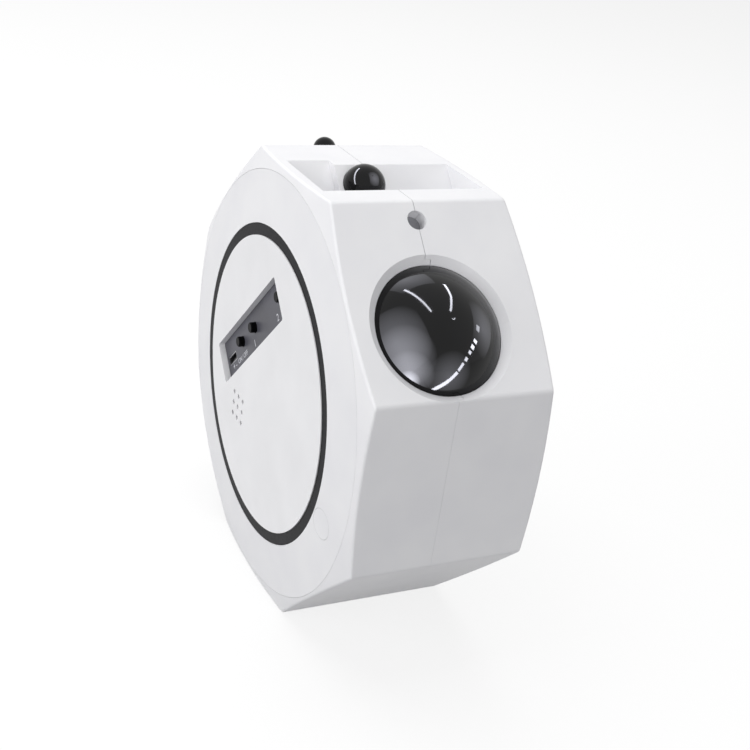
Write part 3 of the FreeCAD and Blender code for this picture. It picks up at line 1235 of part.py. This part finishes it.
def grating_parts():
    """The grating wheel that splits the beam into stars, and its motor."""
    spot = (GRATING_X, STAR_V)
    shaft_low = BRACKET_LOW - D.shaft_depth
    hub_low = GRATING_LOW - D.grating_hub_height
    grating = fuse("grating_wheel",
                   cylinder("grating_disc", OPTICS, D.grating_radius, GRATING_LOW, GRATING_TOP, *spot),
                   cylinder("grating_boss", OPTICS, D.grating_hub, hub_low, GRATING_LOW, *spot),
                   cylinder("grating_rod", OPTICS, D.grating_shaft, shaft_low, hub_low + INTO, *spot))
    motor = cut("grating_motor",
                cylinder("small_can", OPTICS, D.small_motor, BRACKET_LOW - D.small_motor_length, BRACKET_LOW, *spot),
                cylinder("small_bore", OPTICS, D.grating_shaft + D.stem_gap, shaft_low - D.fit_gap,
                         BRACKET_LOW + PAST, *spot))
    return [grating, motor]


def shell_screws():
    """The screws that hold the two shells together, their heads under the left side cover."""
    head_floor = D.head_height + D.fit_gap - LEFT_SEAT
    length = SHELL_THREAD_END - head_floor - D.tip_room
    made = [screw("shell_screw", UPRIGHT_RIGHT, D.screw_radius, D.screw_head, D.head_height, head_floor, length,
                  behind, above) for behind, above in shell_screw_places()]
    return [group("shell_screws", made)]


def all_parts():
    """Every sub-part of the projector."""
    parts = shells() + side_cover_parts() + [control_disc(), control_plate()] + buttons() + board_parts()
    parts += socket_parts() + speaker_parts() + main_dome_parts() + eye_parts() + star_dome_parts()
    parts += rear_dome_parts() + optics_frame_parts() + lamp_parts() + cloud_wheel_parts()
    parts += wheel_motor_parts() + laser_parts() + grating_parts() + shell_screws()
    return parts


def check(parts):
    """Stop if an object failed, or a sub-part is empty or broken."""
    failed = [thing.Label for thing in DOC.Objects if "Invalid" in thing.State or "Error" in thing.State]
    broken = [part.Label for part in parts if part.Shape.isNull() or not part.Shape.isValid()]
    if failed or broken:
        raise RuntimeError("failed: " + str(failed) + " broken: " + str(broken))


def write(parts):
    """Write one file for each sub-part."""
    os.makedirs("parts", exist_ok=True)
    for part in parts:
        part.Shape.exportStep("parts/" + part.Label + ".step")
        box = part.Shape.BoundBox
        print(part.Label, len(part.Shape.Solids), "solids", round(part.Shape.Volume), "mm3",
              [round(value, 1) for value in (box.XMin, box.XMax, box.YMin, box.YMax, box.ZMin, box.ZMax)])


PARTS = all_parts()
DOC.recompute()
check(PARTS)
write(PARTS)
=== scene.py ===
import math

import bmesh
import bpy
from mathutils import Matrix, Vector


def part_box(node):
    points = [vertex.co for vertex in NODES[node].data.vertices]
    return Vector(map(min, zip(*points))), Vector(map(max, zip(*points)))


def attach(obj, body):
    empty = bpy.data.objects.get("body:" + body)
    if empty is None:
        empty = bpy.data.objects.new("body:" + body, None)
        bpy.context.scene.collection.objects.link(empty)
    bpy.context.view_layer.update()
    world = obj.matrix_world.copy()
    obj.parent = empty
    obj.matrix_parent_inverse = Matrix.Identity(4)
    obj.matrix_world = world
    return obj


# Planetarium projector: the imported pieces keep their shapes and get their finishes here.
# Only the printed marks on the control plate are added. Lengths are in metres.

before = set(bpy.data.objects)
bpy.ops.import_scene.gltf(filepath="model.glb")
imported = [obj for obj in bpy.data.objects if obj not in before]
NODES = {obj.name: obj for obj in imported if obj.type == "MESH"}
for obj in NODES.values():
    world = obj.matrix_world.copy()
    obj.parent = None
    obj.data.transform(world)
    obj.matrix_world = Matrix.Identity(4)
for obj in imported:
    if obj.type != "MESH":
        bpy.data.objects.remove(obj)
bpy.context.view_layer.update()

MM = 0.001
DIAGONAL = math.sqrt(0.5)
SEAM_GAP = 0.05 * MM  # the right shell starts this far from the seam
ACRYLIC_IOR = 1.49
GLASS_IOR = 1.5

# Places on the projector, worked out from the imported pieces.
SHELL_LOW, SHELL_HIGH = (Vector(corner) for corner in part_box("left_shell"))
CENTRE_Z = (SHELL_LOW.z + SHELL_HIGH.z) / 2
SEAM_X = Vector(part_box("right_shell")[0]).x - SEAM_GAP


def linear(text):
    """A colour written as sRGB hex, as the renderer's linear red, green, blue and alpha."""
    parts = [int(text[start:start + 2], 16) / 255 for start in (1, 3, 5)]
    return [part / 12.92 if part <= 0.04045 else ((part + 0.055) / 1.055) ** 2.4
            for part in parts] + [1.0]


def add_node(material, kind, inputs=None, **settings):
    """Add a node; an input is a value, or another node's output to link."""
    tree = material.node_tree
    made = tree.nodes.new(kind)
    for name, value in settings.items():
        setattr(made, name, value)
    for name, value in (inputs or {}).items():
        if isinstance(value, bpy.types.NodeSocket):
            tree.links.new(value, made.inputs[name])
        else:
            made.inputs[name].default_value = value
    return made


def new_material(name):
    """An empty material with its surface shader, output and object coordinates."""
    material = bpy.data.materials.new(name)
    material.use_nodes = True
    material.node_tree.nodes.clear()
    shader = add_node(material, "ShaderNodeBsdfPrincipled")
    add_node(material, "ShaderNodeOutputMaterial", {"Surface": shader.outputs[0]})
    place = add_node(material, "ShaderNodeTexCoord").outputs["Object"]
    return material, shader, place


def noise(material, place, size, detail=2.0):
    """Noise whose blobs are about the given size in metres."""
    return add_node(material, "ShaderNodeTexNoise",
                    {"Vector": place, "Scale": 1 / size, "Detail": detail})


def spread(material, value, low, high):
    """Stretch a 0.3 to 0.7 value to the range low to high."""
    made = add_node(material, "ShaderNodeMapRange",
                    {"Value": value, "From Min": 0.3, "From Max": 0.7, "To Min": low, "To Max": high})
    return made.outputs["Result"]


def two_tones(material, value, first, second):
    """Blend two hex colours by a value."""
    mix = add_node(material, "ShaderNodeMix", data_type="RGBA")
    mix.inputs[6].default_value = linear(first)
    mix.inputs[7].default_value = linear(second)
    material.node_tree.links.new(value, mix.inputs[0])
    return mix.outputs[2]


def link(material, output, shader, name):
    material.node_tree.links.new(output, shader.inputs[name])


def bump(material, height, strength, distance):
    """A surface relief of a real height in metres."""
    made = add_node(material, "ShaderNodeBump",
                    {"Height": height, "Strength": strength, "Distance": distance})
    return made.outputs["Normal"]


def moulded_plastic(name, light, dark, rough, grain, relief, shine=0.5):
    """Moulded plastic: faint cloudiness in its colour, a fine spark-eroded grain, uneven gloss."""
    material, shader, place = new_material(name)
    cloud = noise(material, place, 18 * MM)
    tone = spread(material, cloud.outputs[0], 0.0, 1.0)
    link(material, two_tones(material, tone, light, dark), shader, "Base Color")
    fine = noise(material, place, grain, 3.0)
    link(material, spread(material, fine.outputs[0], rough - 0.04, rough + 0.04), shader, "Roughness")
    link(material, bump(material, fine.outputs[0], 0.35, relief), shader, "Normal")
    shader.inputs["IOR"].default_value = ACRYLIC_IOR
    shader.inputs["Specular IOR Level"].default_value = shine
    return material


def white_abs():
    """White ABS casing, moulded with a fine matt grain: it softens the highlights on the facets."""
    return moulded_plastic(
        "white_moulded_abs", "#ececee", "#e7e7ea", 0.42, 0.45 * MM, 0.012 * MM)


def white_disc_abs():
    """The side discs' white ABS, polished a little smoother than the shells."""
    return moulded_plastic(
        "white_disc_abs", "#ededef", "#e8e8ea", 0.34, 0.5 * MM, 0.008 * MM)


def ring_rubber():
    """Dark soft-touch ring: near black with a greyish bloom."""
    return moulded_plastic(
        "dark_soft_touch", "#0f0f12", "#151519", 0.48, 0.6 * MM, 0.02 * MM, shine=0.12)


def plate_film():
    """Printed dark polyester film on the control plate: slate grey with a fine matt texture."""
    return moulded_plastic(
        "printed_polyester_film", "#48484f", "#53535c", 0.4, 0.3 * MM, 0.006 * MM, shine=0.3)


def button_rubber():
    """Black moulded button caps: satin, darker than the film round them."""
    return moulded_plastic(
        "black_button_plastic", "#050506", "#08080a", 0.36, 0.3 * MM, 0.008 * MM, shine=0.05)


def inner_plastic():
    """Black glass-filled plastic of the parts inside."""
    return moulded_plastic(
        "black_glass_filled_plastic", "#141416", "#1d1d20", 0.55, 0.5 * MM, 0.03 * MM)


def gear_acetal():
    """Natural acetal of wheel and pinion: milky white and slightly waxy."""
    return moulded_plastic(
        "natural_acetal", "#e6e4dc", "#dddacf", 0.38, 0.4 * MM, 0.006 * MM)


def chip_epoxy():
    """Black epoxy of switches and circuit parts."""
    return moulded_plastic(
        "black_epoxy", "#151517", "#1f1f22", 0.6, 0.25 * MM, 0.01 * MM)


def grey_window():
    """Grey diffusing window of the receiver eye."""
    return moulded_plastic(
        "grey_diffusing_acrylic", "#98989c", "#8b8b90", 0.3, 0.5 * MM, 0.004 * MM)


def dome_acrylic():
    """Polished black acrylic of the domes: a deep black under a clear, mirror-smooth surface."""
    material, shader, place = new_material("polished_black_acrylic")
    cloud = noise(material, place, 9 * MM)
    tone = spread(material, cloud.outputs[0], 0.0, 1.0)
    link(material, two_tones(material, tone, "#060607", "#0a0a0c"), shader, "Base Color")
    link(material, spread(material, cloud.outputs[0], 0.04, 0.07), shader, "Roughness")
    shader.inputs["IOR"].default_value = ACRYLIC_IOR
    shader.inputs["Specular IOR Level"].default_value = 0.25
    return material


def clear_glass(name, tint):
    """Ground and polished lens glass with a faint tint and a few soft waves."""
    material, shader, place = new_material(name)
    wave = noise(material, place, 6 * MM)
    link(material, two_tones(material, wave.outputs[0], "#ffffff", tint), shader, "Base Color")
    link(material, spread(material, wave.outputs[0], 0.01, 0.04), shader, "Roughness")
    shader.inputs["Transmission Weight"].default_value = 1.0
    shader.inputs["IOR"].default_value = GLASS_IOR
    return material


def nebula_film():
    """The cloud wheel's printed film: soft blue, violet and rose clouds."""
    material, shader, place = new_material("printed_cloud_film")
    cloud = noise(material, place, 11 * MM, 6.0)
    ramp = add_node(material, "ShaderNodeValToRGB", {"Fac": cloud.outputs[0]})
    ramp.color_ramp.elements[0].position = 0.35
    ramp.color_ramp.elements[0].color = linear("#1a2a7a")
    ramp.color_ramp.elements[1].position = 0.68
    ramp.color_ramp.elements[1].color = linear("#c04a90")
    middle = ramp.color_ramp.elements.new(0.5)
    middle.color = linear("#3f7fd0")
    link(material, ramp.outputs["Color"], shader, "Base Color")
    link(material, spread(material, cloud.outputs[0], 0.12, 0.2), shader, "Roughness")
    shader.inputs["Transmission Weight"].default_value = 0.6
    return material


def metal(name, light, dark, rough, brush, stretch):
    """Metal with fine lines left by its finishing, longer one way than the other."""
    material, shader, place = new_material(name)
    lines = add_node(material, "ShaderNodeMapping", {"Vector": place, "Scale": stretch})
    fine = noise(material, lines.outputs[0], brush, 4.0)
    tone = spread(material, fine.outputs[0], 0.0, 1.0)
    link(material, two_tones(material, tone, light, dark), shader, "Base Color")
    link(material, spread(material, fine.outputs[0], rough - 0.07, rough + 0.07), shader, "Roughness")
    link(material, bump(material, fine.outputs[0], 0.3, 0.004 * MM), shader, "Normal")
    shader.inputs["Metallic"].default_value = 1.0
    return material


def circuit_board():
    """Green solder mask over copper tracks, which show as slightly lighter lines."""
    material, shader, place = new_material("green_solder_mask")
    tracks = add_node(material, "ShaderNodeTexBrick",
                      {"Vector": place, "Scale": 1 / (9 * MM), "Color1": linear("#0e4a2a"),
                       "Color2": linear("#0b3d23"), "Mortar": linear("#1c6a3c"), "Mortar Size": 0.03})
    link(material, tracks.outputs["Color"], shader, "Base Color")
    fine = noise(material, place, 0.8 * MM)
    link(material, spread(material, fine.outputs[0], 0.3, 0.4), shader, "Roughness")
    return material


def emitter_phosphor():
    """Yellow phosphor of the lamp's light emitters."""
    return moulded_plastic(
        "yellow_phosphor", "#d8b840", "#cda93a", 0.5, 0.3 * MM, 0.004 * MM)


def print_ink():
    """Pale screen-printed marks on the control plate, slightly uneven."""
    return moulded_plastic(
        "pale_screen_ink", "#dcdce2", "#cfcfd6", 0.5, 0.25 * MM, 0.002 * MM)


FINISHES = {
    white_abs: ["left_shell", "right_shell", "left_side_cover", "right_side_cover", "screw_plug"],
    white_disc_abs: ["control_disc", "right_disc"],
    ring_rubber: ["left_ring", "right_ring"],
    plate_film: ["control_plate"],
    button_rubber: ["power_button", "light_button", "mode_button"],
    dome_acrylic: ["main_dome", "star_dome", "rear_dome"],
    grey_window: ["eye_window"],
    inner_plastic: ["optics_frame", "lens_barrel", "star_dome_clamp", "laser_bracket",
                    "speaker_cone"],
    gear_acetal: ["cloud_wheel", "motor_pinion"],
    chip_epoxy: ["button_switches", "circuit_parts", "receiver_sensor", "socket_tongue"],
    circuit_board: ["main_board", "receiver_board"],
    emitter_phosphor: ["lamp_emitters"],
    nebula_film: ["nebula_disc"],
}
METAL_NODES = ["board_screws", "bracket_screws", "clamp_screws", "cover_screw", "dome_screws",
               "frame_screws", "shell_screws", "wheel_axle", "axle_clip", "power_socket",
               "speaker_frame", "speaker_magnet"]
ALUMINIUM_NODES = ["lamp_board", "heat_sink", "wheel_motor", "grating_motor"]
BRASS_NODES = ["laser_barrel", "rear_lamp"]
LENS_NODES = ["projection_lens", "condenser_lens", "grating_wheel"]


def middle_of(name):
    """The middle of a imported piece's box."""
    low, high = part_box(name)
    return (Vector(low) + Vector(high)) / 2


def finish_nodes(names, material):
    """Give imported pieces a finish."""
    for name in names:
        piece = NODES[name]
        piece.data.materials.clear()
        piece.data.materials.append(material)


def finish_all():
    """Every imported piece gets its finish."""
    for make, names in FINISHES.items():
        finish_nodes(names, make())
    finish_nodes(METAL_NODES, metal("bright_zinc_plated_steel", "#b9babd", "#a4a5a9",
                                    0.3, 0.2 * MM, (1, 1, 6)))
    finish_nodes(ALUMINIUM_NODES, metal("extruded_aluminium", "#cfd0d2", "#bdbec1",
                                        0.34, 0.3 * MM, (8, 1, 1)))
    finish_nodes(BRASS_NODES, metal("turned_brass", "#c8a65a", "#b8944a",
                                    0.28, 0.2 * MM, (1, 6, 1)))
    finish_nodes(LENS_NODES, clear_glass("optical_glass", "#e8f4f6"))


# Directions on the left side: u towards the main dome, v towards the upper back, w outward.
SIDE_TURN = Matrix(((0, 0, -1), (-DIAGONAL, DIAGONAL, 0), (DIAGONAL, DIAGONAL, 0))).to_4x4()


def side_place(u, v, w):
    """The transform that puts a flat shape on the left side, at u, v and w from the wheel's centre."""
    centre = Matrix.Translation(Vector((SEAM_X, 0, CENTRE_Z)))
    return centre @ SIDE_TURN @ Matrix.Translation(Vector((u, v, w)))


PLATE_W = SEAM_X - Vector(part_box("control_plate")[0]).x
INK_HEIGHT = 0.03 * MM  # how far the ink stands above the plate
MARK_ROW_STEP = -4.9 * MM  # from the power button's v to the row of marks
# Name, words, the node beside the mark, step along u from that node, and height, in millimetres.
MARKS = [
    ("power_mark", "ON / OFF", "power_button", -2.9, 2.6),
    ("light_mark", "1", "light_button", -2.9, 3.6),
    ("mode_mark", "2", "mode_button", -6.3, 3.6),
    ("socket_mark", "+ -", "power_socket", 1.0, 3.6),
]


def printed_word(name, words, u, v, height, material):
    """A printed mark that lies on the control plate."""
    curve = bpy.data.curves.new(name + "_line", "FONT")
    curve.body = words
    curve.size = height
    curve.align_x = "CENTER"
    curve.align_y = "CENTER"
    curve.extrude = INK_HEIGHT
    holder = bpy.data.objects.new(name + "_line", curve)
    bpy.context.scene.collection.objects.link(holder)
    bpy.context.view_layer.update()
    mesh = bpy.data.meshes.new_from_object(holder)
    mesh.name = name
    bpy.data.objects.remove(holder)
    mesh.transform(side_place(u, v, PLATE_W))
    piece = bpy.data.objects.new(name, mesh)
    bpy.context.scene.collection.objects.link(piece)
    mesh.materials.clear()
    mesh.materials.append(material)
    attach(piece, "root")


def build_marks():
    """Plain printed marks beside the buttons and the socket."""
    ink = print_ink()
    middle = middle_of("power_button")
    row = (middle.z - CENTRE_Z + middle.y) * DIAGONAL + MARK_ROW_STEP
    for name, words, node, step, height in MARKS:
        middle = middle_of(node)
        u = (middle.z - CENTRE_Z - middle.y) * DIAGONAL
        printed_word(name, words, u + step * MM, row, height * MM, ink)


# The camera stands to the left of the front, a little above, and is rolled slightly.
CAMERA_PLACE = Vector((-0.18041, -0.34672, 0.26195))
CAMERA_HEADING = math.radians(28.637)
CAMERA_PITCH = math.radians(-25.351)
CAMERA_ROLL = math.radians(8.142)
CAMERA_LENS = 59.03


def build_camera():
    """The photograph's viewpoint."""
    data = bpy.data.cameras.new("camera")
    data.lens = CAMERA_LENS
    data.sensor_fit = "HORIZONTAL"
    data.sensor_width = 36
    data.clip_start = 0.01
    camera = bpy.data.objects.new("camera", data)
    turn = (Matrix.Rotation(-CAMERA_HEADING, 4, "Z")
            @ Matrix.Rotation(math.pi / 2 + CAMERA_PITCH, 4, "X")
            @ Matrix.Rotation(CAMERA_ROLL, 4, "Z"))
    camera.matrix_world = Matrix.Translation(CAMERA_PLACE) @ turn
    bpy.context.scene.collection.objects.link(camera)
    bpy.context.scene.camera = camera


# Lamps that light the projector: name, place and target in metres, width, length and power in watts.
ROOM_LAMPS = [
    ("overhead_soft_box", (-0.1, 0.45, 1.2), (0, 0, 0.07), 1.4, 1.4, 13.1),
    ("left_fill", (-1.3, -0.1, 0.35), (0, 0, 0.08), 1.0, 0.9, 9.5),
    ("front_fill", (-0.2, -1.3, 0.45), (0, 0, 0.08), 1.0, 0.9, 4.9),
]


def area_light(name, place, target, wide, long, watts):
    """A soft rectangular lamp that faces its target and shows in no mirror."""
    data = bpy.data.lights.new(name, "AREA")
    data.shape = "RECTANGLE"
    data.size = wide
    data.size_y = long
    data.energy = watts
    lamp = bpy.data.objects.new(name, data)
    toward = Vector(target) - Vector(place)
    turn = toward.to_track_quat("-Z", "Y").to_matrix().to_4x4()
    lamp.matrix_world = Matrix.Translation(Vector(place)) @ turn
    lamp.visible_camera = False
    lamp.visible_glossy = False
    bpy.context.scene.collection.objects.link(lamp)


# Lamps that show in a dome: name, first and last end from the dome's centre, and width, all in
# millimetres, then how bright the lamp is and the angle in degrees of its beam. A narrow beam fades
# towards the lamp's edge.
WIDE_BEAM = 180.0
GLINT_COLOUR = "#f2f3ff"
MAIN_GLINTS = [
    ("upper_tube", (-93, 269, 542), (24, -177, 578), 24, 38.0, WIDE_BEAM),
    ("side_tube_high", (319, 254, 454), (334, 65, 503), 24, 36.0, WIDE_BEAM),
    ("side_tube_low", (334, 65, 503), (271, -159, 516), 24, 36.0, WIDE_BEAM),
    ("window_1", (186, -42, 83), (183, -63, 75), 18, 14.0, WIDE_BEAM),
    ("window_2", (174, -96, 61), (169, -107, 55), 20, 50.0, WIDE_BEAM),
    ("window_3", (163, -118, 52), (156, -130, 44), 20, 50.0, WIDE_BEAM),
    ("window_4", (150, -138, 39), (144, -147, 31), 16, 40.0, WIDE_BEAM),
    ("window_5", (134, -158, 21), (126, -166, 10), 16, 40.0, WIDE_BEAM),
    ("window_6", (118, -172, 4), (96, -186, -23), 14, 40.0, WIDE_BEAM),
    ("window_7", (92, -187, -29), (56, -195, -63), 16, 45.0, WIDE_BEAM),
    ("window_8", (56, -195, -63), (4, -192, -98), 18, 50.0, WIDE_BEAM),
    ("window_9", (4, -192, -98), (-30, -180, -119), 14, 50.0, WIDE_BEAM),
    ("window_haze", (150, -200, 45), (-20, -222, -125), 250, 5.0, 62.0),
    ("far_box", (-290, 60, 260), (-120, -290, -40), 460, 7.0, 98.0),
    ("wide_box", (-230, -20, 170), (-40, -270, -90), 360, 9.0, 84.0),
    ("low_box", (-170, -110, 60), (-50, -230, -130), 250, 14.0, 62.0),
    ("table_glow", (-150, -150, -30), (-70, -190, -110), 100, 40.0, 28.0),
    ("top_band", (-150, 330, 420), (190, 330, 330), 300, 3.5, 58.0),
    ("right_band", (360, 120, 160), (330, -200, 40), 200, 3.0, 50.0),
]
STAR_GLINTS = [
    ("star_tube", (-60, 340, 400), (-465, -198, 0), 40, 32.0, WIDE_BEAM),
    ("star_box", (235, 24, 446), (236, -434, 109), 420, 7.0, 76.0),
]


def beam_share(spread):
    """How much of a lamp's light at full width is left in a beam that fades to the given angle."""
    half = spread / 2
    return math.sin(half) ** 2 - (half - math.sin(half) * math.cos(half)) / math.tan(half)


def glint(name, seen_in, centre, first, last, wide, glow, beam):
    """A lamp that lights nothing, and only shows as a highlight in a polished dome."""
    start = centre + Vector(first) * MM
    end = centre + Vector(last) * MM
    middle = (start + end) / 2
    outward = (middle - centre).normalized()
    across = (end - start).cross(outward).normalized()
    turn = Matrix((across, outward.cross(across), outward)).transposed()
    data = bpy.data.lights.new(name, "AREA")
    data.shape = "RECTANGLE"
    data.size = wide * MM
    data.size_y = (end - start).length
    data.spread = math.radians(beam)
    data.energy = glow * data.size * data.size_y * math.pi * beam_share(data.spread)
    data.color = linear(GLINT_COLOUR)[:3]
    lamp = bpy.data.objects.new(name, data)
    lamp.matrix_world = Matrix.Translation(middle) @ turn.to_4x4()
    lamp.visible_camera = False
    lamp.visible_diffuse = False
    lamp.light_linking.receiver_collection = seen_in
    bpy.context.scene.collection.objects.link(lamp)


def build_lights():
    """A soft overhead box, soft fills from the left and the front, and the highlights in the domes."""
    for row in ROOM_LAMPS:
        area_light(*row)
    for name, rows in (("main_dome", MAIN_GLINTS), ("star_dome", STAR_GLINTS)):
        seen_in = bpy.data.collections.new(name + "_highlights")
        seen_in.objects.link(NODES[name])
        for row in rows:
            glint(row[0], seen_in, middle_of(name), *row[1:])


def seen_directly(owner):
    """One for what the camera sees itself, in a mirror or through glass, and nought otherwise."""
    path = add_node(owner, "ShaderNodeLightPath")
    total = path.outputs["Is Camera Ray"]
    for name in ("Is Glossy Ray", "Is Transmission Ray"):
        step = add_node(owner, "ShaderNodeMath", {0: total, 1: path.outputs[name]},
                        operation="ADD", use_clamp=True)
        total = step.outputs[0]
    return total


WHITE = (1, 1, 1, 1)
FILL_STRENGTH = 0.36  # the surround's light on the projector
SHOWN_STRENGTH = 1.0  # the surround as it is seen
TABLE_HALF = 6  # metres from the middle of the table to its edge
TABLE_PLAIN_SHARE = 0.8  # how much of the table shows as plain white, and the rest holds the shadow


def build_world():
    """An even white surround that lights the projector only a little."""
    world = bpy.data.worlds.new("studio")
    bpy.context.scene.world = world
    world.use_nodes = True
    world.node_tree.nodes.clear()
    fill = add_node(world, "ShaderNodeBackground", {"Color": WHITE, "Strength": FILL_STRENGTH})
    shown = add_node(world, "ShaderNodeBackground", {"Color": WHITE, "Strength": SHOWN_STRENGTH})
    mix = add_node(world, "ShaderNodeMixShader",
                   {0: seen_directly(world), 1: fill.outputs[0], 2: shown.outputs[0]})
    add_node(world, "ShaderNodeOutputWorld", {"Surface": mix.outputs[0]})


def build_floor():
    """A white table top. Seen by the camera it is mostly plain white, and keeps a faint shadow."""
    shape = bmesh.new()
    bmesh.ops.create_grid(shape, x_segments=1, y_segments=1, size=TABLE_HALF)
    mesh = bpy.data.meshes.new("table_top")
    shape.to_mesh(mesh)
    shape.free()
    floor = bpy.data.objects.new("table_top", mesh)
    bpy.context.scene.collection.objects.link(floor)
    material = bpy.data.materials.new("white_table")
    material.use_nodes = True
    material.node_tree.nodes.clear()
    seen = seen_directly(material)
    tone = two_tones(material, seen, "#909092", "#ffffff")
    lit = add_node(material, "ShaderNodeBsdfDiffuse", {"Color": tone})
    plain = add_node(material, "ShaderNodeEmission", {"Color": WHITE, "Strength": 1.0})
    share = add_node(material, "ShaderNodeMath", {0: seen, 1: TABLE_PLAIN_SHARE}, operation="MULTIPLY")
    mix = add_node(material, "ShaderNodeMixShader",
                   {0: share.outputs[0], 1: lit.outputs[0], 2: plain.outputs[0]})
    add_node(material, "ShaderNodeOutputMaterial", {"Surface": mix.outputs[0]})
    mesh.materials.append(material)


build_camera()
build_world()
build_floor()
build_lights()
finish_all()
build_marks()
bpy.context.scene.view_settings.view_transform = "Standard"
